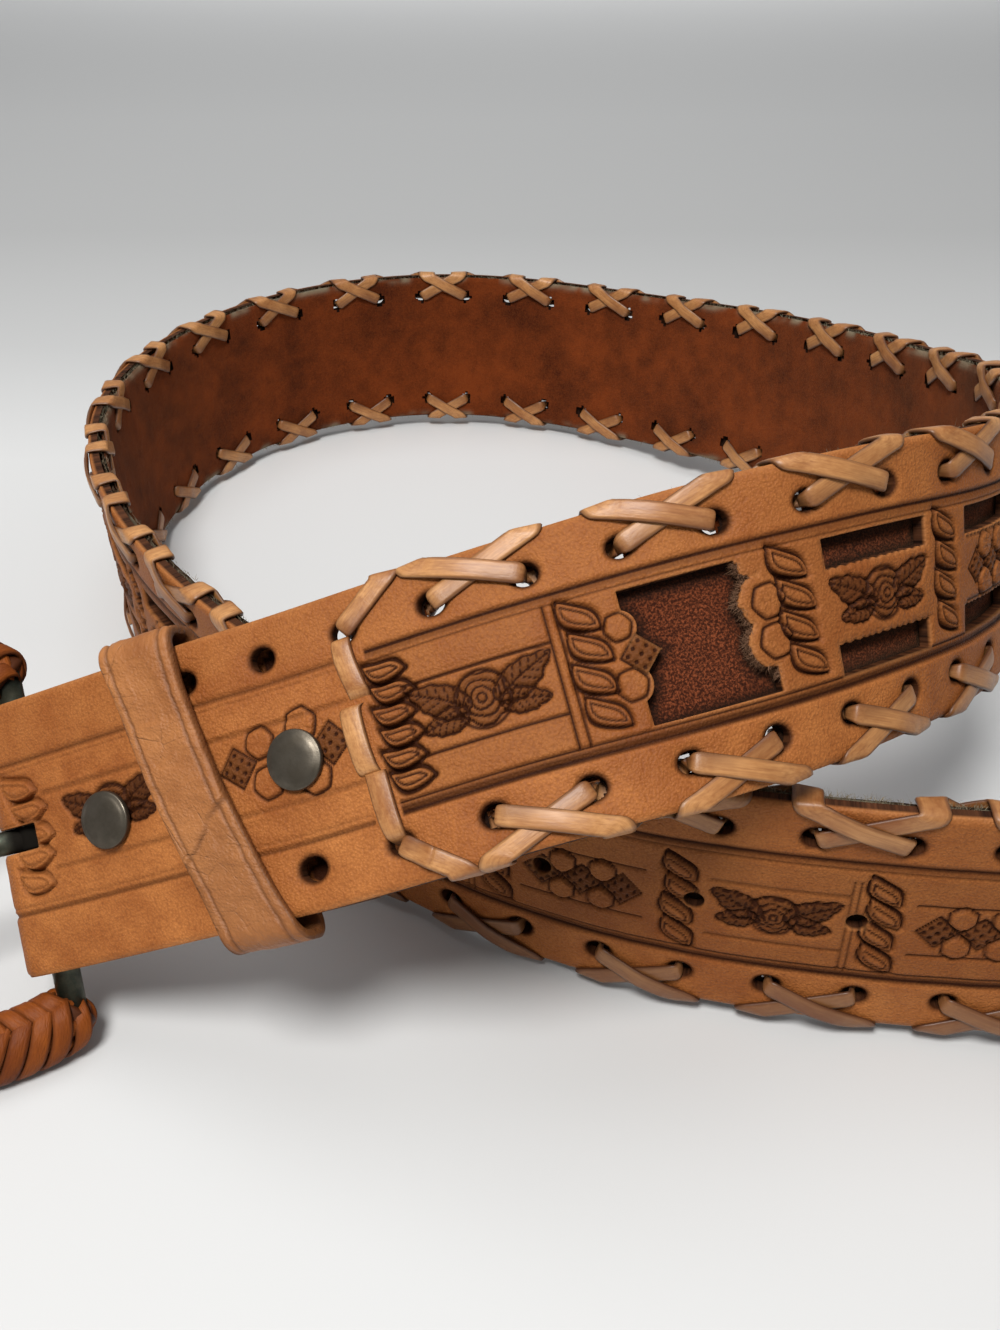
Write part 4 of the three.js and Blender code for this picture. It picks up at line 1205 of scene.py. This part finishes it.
def braidPiece():
    """Flat strands wound round the frame, five each way, passing over and under one another."""
    line = ringCentre(16)
    step = np.gradient(line[:, :2], axis=0)
    tangent = step / np.linalg.norm(step, axis=1)[:, None]
    length = np.concatenate([[0], np.cumsum(np.linalg.norm(np.diff(line[:, :2], axis=0), axis=1))])
    strands, pitch = 5, 17.8
    t = np.linspace(braidTrim, length[-1] - braidTrim, 440)
    middle = np.stack([np.interp(t, length, line[:, i]) for i in range(3)], 1)
    side = np.stack([np.interp(t, length, v) for v in (tangent[:, 1], -tangent[:, 0])], 1)
    along = np.stack([-side[:, 1], side[:, 0]], 1)
    x = np.cos(np.arange(10) / 10 * 2 * math.pi)
    y = np.sin(np.arange(10) / 10 * 2 * math.pi)
    x, y = np.sign(x) * np.abs(x) ** 0.5, np.sign(y) * np.abs(y) ** 0.8
    allPoints, allFaces, rims, runs = [], [], [], []
    strandHalf, strandThick = 1.56, 0.9
    for way in (1, -1):
        for k in range(strands):
            turn = t / pitch * 2 * math.pi
            phi = way * turn + 2 * math.pi * k / strands + (0.3 if way < 0 else 0)
            raise_ = way * 0.4 * np.tanh(3 * np.cos(phi - math.radians(28)))
            close = np.clip(np.minimum(t - t[0], t[-1] - t) / 3.6, 0, 1)
            close = np.maximum(np.sqrt(1 - (1 - close) ** 2), 0.12)  # both ends are rounded over
            a = (buckle["halfWidth"] * np.minimum(middle[:, 2] + 0.1, 1) - 0.85) * close
            b = (buckle["halfThickness"] * np.minimum(middle[:, 2] + 0.1, 1) - 0.7) * close

            def surface(angle, lengthwise, rise):
                radiusA, radiusB = a[:, None] + rise, b[:, None] + rise
                u, z = radiusA * np.cos(angle), radiusB * np.sin(angle)
                px = middle[:, :1] + side[:, :1] * u + along[:, :1] * lengthwise
                py = middle[:, 1:2] + side[:, 1:2] * u + along[:, 1:2] * lengthwise
                return onBuckle(px, py + buckle["shift"], z)

            mean = 4.9
            slope = mean * 2 * math.pi / pitch
            tilt = math.atan(slope)
            across = x[None, :] * strandHalf
            angle = phi[:, None] - way * across * math.cos(tilt) / mean
            rise = raise_[:, None] + y[None, :] * strandThick / 2 - 0.2 * x[None, :] ** 2
            points = surface(angle, across * math.sin(tilt), rise)
            base = sum(len(p) for p in allPoints)
            faces = gridFaces(len(t), 10, closeColumns=True)
            if way > 0:
                faces = faces[:, ::-1]
            allPoints.append(points.reshape(-1, 3))
            allFaces.append(faces + base)
            rims.append(np.broadcast_to(np.abs(x) ** 5, (len(t), 10)).ravel())
            runs.append(np.stack([np.repeat(t + 40 * k, 10), np.tile(x * 2.5, len(t)), np.full(len(t) * 10, way * 3.0)], 1))
    values = {"rim": np.concatenate(rims), "lay": np.concatenate(runs) * mm}
    made = meshObject("braided_lacing", np.concatenate(allPoints), np.concatenate(allFaces), values)
    return dress(made, "buckle", "braid", materials["braid"], "braided_frame")


braid = braidPiece()


def ringCore():
    """The frame inside the braid, seen only as dark gaps between the strands, closed by rounded ends."""
    line = ringCentre(10)
    run = np.concatenate([[0], np.cumsum(np.linalg.norm(np.diff(line[:, :2], axis=0), axis=1))])
    line = line[(run >= braidTrim) & (run <= run[-1] - braidTrim)]
    step = np.gradient(line[:, :2], axis=0)
    tangent = step / np.linalg.norm(step, axis=1)[:, None]
    angle = np.arange(24) / 24 * 2 * math.pi
    shrink = np.full(len(line), 0.78)
    shrink[[0, -1]] = 0.05
    shrink[[1, -2]] = 0.6
    u = np.cos(angle)[None, :] * (buckle["halfWidth"] * line[:, 2] * shrink)[:, None]
    z = np.sin(angle)[None, :] * (buckle["halfThickness"] * line[:, 2] * shrink)[:, None]
    px = line[:, :1] + tangent[:, 1:2] * u
    py = line[:, 1:2] - tangent[:, :1] * u
    faces = gridFaces(len(line), 24, closeColumns=True)[:, ::-1]
    size = px.size
    # rim is 1 all over, so the core takes the braid's darkest colour: painted shade in the gaps between the strands
    values = {"rim": np.ones(size), "lay": np.zeros((size, 3))}
    made = meshObject("braid_core", onBuckle(px, py + buckle["shift"], z).reshape(-1, 3), faces, values)
    return dress(made, "buckle", "braid", materials["braid"], "braided_frame")


ringCore()


def barPiece():
    """The bare heel bar in the fold."""
    angle = np.arange(32) / 32 * 2 * math.pi
    y = np.array([-30.5, -30.5, 30.0, 30.0])
    r = np.array([0.01, barRadius, barRadius, 0.01])[:, None]
    points = onBuckle(r * np.cos(angle), y[:, None] + 0 * angle, r * np.sin(angle)).reshape(-1, 3)
    made = meshObject("heel_bar", points, gridFaces(4, 32, closeColumns=True))
    return dress(made, "buckle", "buckle_metal", materials["bronze"], "buckle_bar")


barPiece()


# The prong's centre line from the bar to its tip, with radius.
prongLine = ((-2.4, 0.2, 1.9), (-8, 0.3, 1.9), (-13, 1.2, 1.85), (-18, 2.6, 1.8), (-25, 4.6, 1.75),
             (-31, 5.75, 1.7), (-38, 5.9, 1.6), (-43.5, 5.7, 1.45), (-46.3, 5.2, 1.1), (-47, 4.9, 0.3))


def prongPiece():
    """Bowed tongue, round in section and tapering to its tip, with an eye round the bar."""
    line = smoothPath(prongLine, 8)
    step = np.gradient(line[:, :2], axis=0)
    tangent = step / np.linalg.norm(step, axis=1)[:, None]
    angle = np.arange(28) / 28 * 2 * math.pi
    r = line[:, 2][:, None]
    c, s = np.sign(np.cos(angle)) * np.abs(np.cos(angle)) ** 0.85, np.sin(angle)
    px = line[:, :1] - tangent[:, 1:2] * s * r * 0.72
    pz = line[:, 1:2] + tangent[:, :1] * s * r * 0.72
    py = c * r * 1.05
    tongue = onBuckle(px, py, pz).reshape(-1, 3)
    tongueFaces = gridFaces(len(line), 28, closeColumns=True)
    around = np.arange(40) / 40 * 2 * math.pi
    section = np.array([(2.3, -1.9), (2.8, -1.9), (3.0, -1.5), (3.0, 1.5), (2.8, 1.9), (2.3, 1.9)])
    radius, y = section[:, 0][None, :], section[:, 1][None, :]
    around = around[:, None]
    eye = onBuckle(radius * np.cos(around), y + 0 * around, radius * np.sin(around)).reshape(-1, 3)
    eyeFaces = gridFaces(40, 6, closeRows=True, closeColumns=True) + len(tongue)
    # painted shade: the eye round the bar and the tongue's root sit in the strap's slot and are darkened through the
    # shade value
    root = np.repeat(smoothstep(-6.0, -3.6, line[:, 0]), 28)
    slotShade = {"shade": np.concatenate([root, np.ones(len(eye))])}
    made = meshObject("prong_tongue", np.concatenate([tongue, eye]), np.concatenate([tongueFaces, eyeFaces]), slotShade)
    return dress(made, "prong", "buckle_metal", materials["bronze"], "buckle_prong")


prongPiece()

print("stage: fibres")


def fibres(name, roots, ahead, lengths, frayed):
    """Short loose fibres that point ahead of their roots: one thin sliver each, bent a little."""
    count = len(roots)
    directions = ahead - roots
    directions /= np.linalg.norm(directions, axis=1)[:, None]
    generator = np.random.default_rng(23)
    side = np.cross(directions, generator.normal(size=(count, 3)))
    side /= np.linalg.norm(side, axis=1)[:, None]
    bend = generator.normal(size=(count, 3)) * 0.3
    width = 0.05 * mm
    middle = roots + directions * (lengths / 2)[:, None]
    tip = roots + (directions + bend) * lengths[:, None]
    wide, narrow = side * width, side * width * 0.7
    points = np.stack([roots - wide, roots + wide, middle + narrow, middle - narrow, tip], 1)
    base = np.arange(count)[:, None] * 5
    quads = (base + np.array([[0, 1, 2, 3]])).tolist()
    tips = (base + np.array([[3, 2, 4]])).tolist()
    mesh = bpy.data.meshes.new(name)
    mesh.from_pydata(points.reshape(-1, 3).tolist(), [], quads + tips)
    frays, lays = np.full(count * 5, frayed, np.float32), np.repeat(roots, 5, axis=0).astype(np.float32)
    mesh.attributes.new("frayed", "FLOAT", "POINT").data.foreach_set("value", frays)
    mesh.attributes.new("lay", "FLOAT_VECTOR", "POINT").data.foreach_set("vector", lays.ravel())
    made = bpy.data.objects.new(name, mesh)
    bpy.context.collection.objects.link(made)
    return dress(made, "belt", "suede", materials["suede"])


def edgeFibres():
    """Fuzz along both edges of the lining."""
    generator = np.random.default_rng(29)
    count = 18000
    spread = generator.uniform(size=count) < 0.6
    s = np.where(spread, generator.uniform(72, 950, count), generator.uniform(745, 900, count))
    sign = np.where(generator.uniform(size=count) < 0.6, 1, -1)
    patch = noise(s, s * 0, 6, 53, 2)
    keep = patch > generator.uniform(-1.0, 0.6, count)
    s, sign = s[keep], sign[keep]
    depth = generator.uniform(liningInner, liningOuter + 0.4, len(s))
    w = sign * (half - 0.55)
    roots = onStrap(s, w, depth)
    ahead = onStrap(s + generator.normal(0, 0.6, len(s)), w + sign * 1.0, depth + generator.normal(0, 0.5, len(s)))
    return fibres("lining_edge_fibres", roots, ahead, generator.uniform(0.5, 1.3, len(s)) * mm, 1.0)


edgeFibres()


def tornFibres():
    """Grey fibres on the torn ends of the first window's bar."""
    generator = np.random.default_rng(31)
    x = generator.uniform(122, 129.5, 60000)
    y = generator.uniform(-8, 9.8, 60000)
    d = tornWindow(x, y)
    keep = np.abs(d) < 0.12
    x, y = x[keep][:1500], y[keep][:1500]
    depth = generator.uniform(-2.2, -0.2, len(x))
    roots = onStrap(x, y, depth)
    drift = [generator.normal(middle, spread, len(x)) for middle, spread in ((0, 0.7), (0, 0.9), (0.1, 0.6))]
    ahead = onStrap(x - 1 + drift[0], y + drift[1], depth + drift[2])
    return fibres("torn_bar_fibres", roots, ahead, generator.uniform(0.4, 1.2, len(x)) * mm, 0.4)


tornFibres()

print("stage: studio")


# The floor's lightness by distance back in m: painted light and shade, lighter and darker bands in its colour standing
# in for how the light falls over the floor and the backdrop behind it.
floorShadeTones = ((0.0, 0.61), (0.1, 0.67), (0.2, 0.56), (0.35, 0.51), (0.6, 0.6), (1.0, 0.65), (3.6, 0.62))


def paper():
    """Pale board, greyer towards the back, in bands of painted light and shade."""
    m = Shade("pale paper")
    place = m.node("ShaderNodeTexCoord").outputs["Object"]
    back = m.node("ShaderNodeSeparateXYZ", {0: place}).outputs["Y"]
    first, last = floorShadeTones[0][0], floorShadeTones[-1][0]
    ramp = m.node("ShaderNodeValToRGB", {"Fac": m.spread(back, first, last)})
    for y, tone in floorShadeTones[1:-1]:
        ramp.color_ramp.elements.new((y - first) / (last - first))
    for element, (y, tone) in zip(ramp.color_ramp.elements, floorShadeTones):
        element.color = (tone * 0.985, tone * 0.995, tone, 1)
    return m.finish(color=ramp.outputs["Color"], roughness=0.5, specular=0.35)


def backdrop():
    """Pale level floor, wide enough for a view from any side."""
    x, y = (a.ravel() for a in np.meshgrid(np.linspace(-6, 6, 7), np.linspace(-6, 7, 7), indexing="ij"))
    made = meshObject("table", np.stack([x, y, np.full(len(x), -0.0003)], 1), gridFaces(7, 7))
    made.data.materials.append(paper())


backdrop()


def areaLight(name, place, target, size, power, color=(1, 1, 1), spread=180):
    data = bpy.data.lights.new(name, "AREA")
    data.shape = "DISK"
    data.size = size
    data.energy = power
    data.color = color
    data.spread = math.radians(spread)
    made = bpy.data.objects.new(name, data)
    bpy.context.collection.objects.link(made)
    place, target = np.array(place), np.array(target)
    away = place - target
    yaw = math.atan2(away[1], away[0])
    tilt = math.atan2(math.hypot(away[0], away[1]), away[2])
    made.location = place
    made.rotation_euler = (0, tilt, yaw)


areaLight("key", (-0.2, -0.5, 0.95), (0, 0, 0), 0.36, 11.5, (1, 0.985, 0.96))
areaLight("top", (-0.2, 0.25, 1.2), (0, 0, 0), 0.9, 4)
areaLight("far", (0, 2.7, 2.4), (0, 2.75, 0), 1.6, 42, spread=70)
world = bpy.data.worlds.new("world")
world.use_nodes = True
world.node_tree.nodes["Background"].inputs[0].default_value = (0.98, 0.99, 1, 1)
world.node_tree.nodes["Background"].inputs[1].default_value = 0.27
bpy.context.scene.world = world
bpy.context.scene.view_settings.view_transform = "Standard"
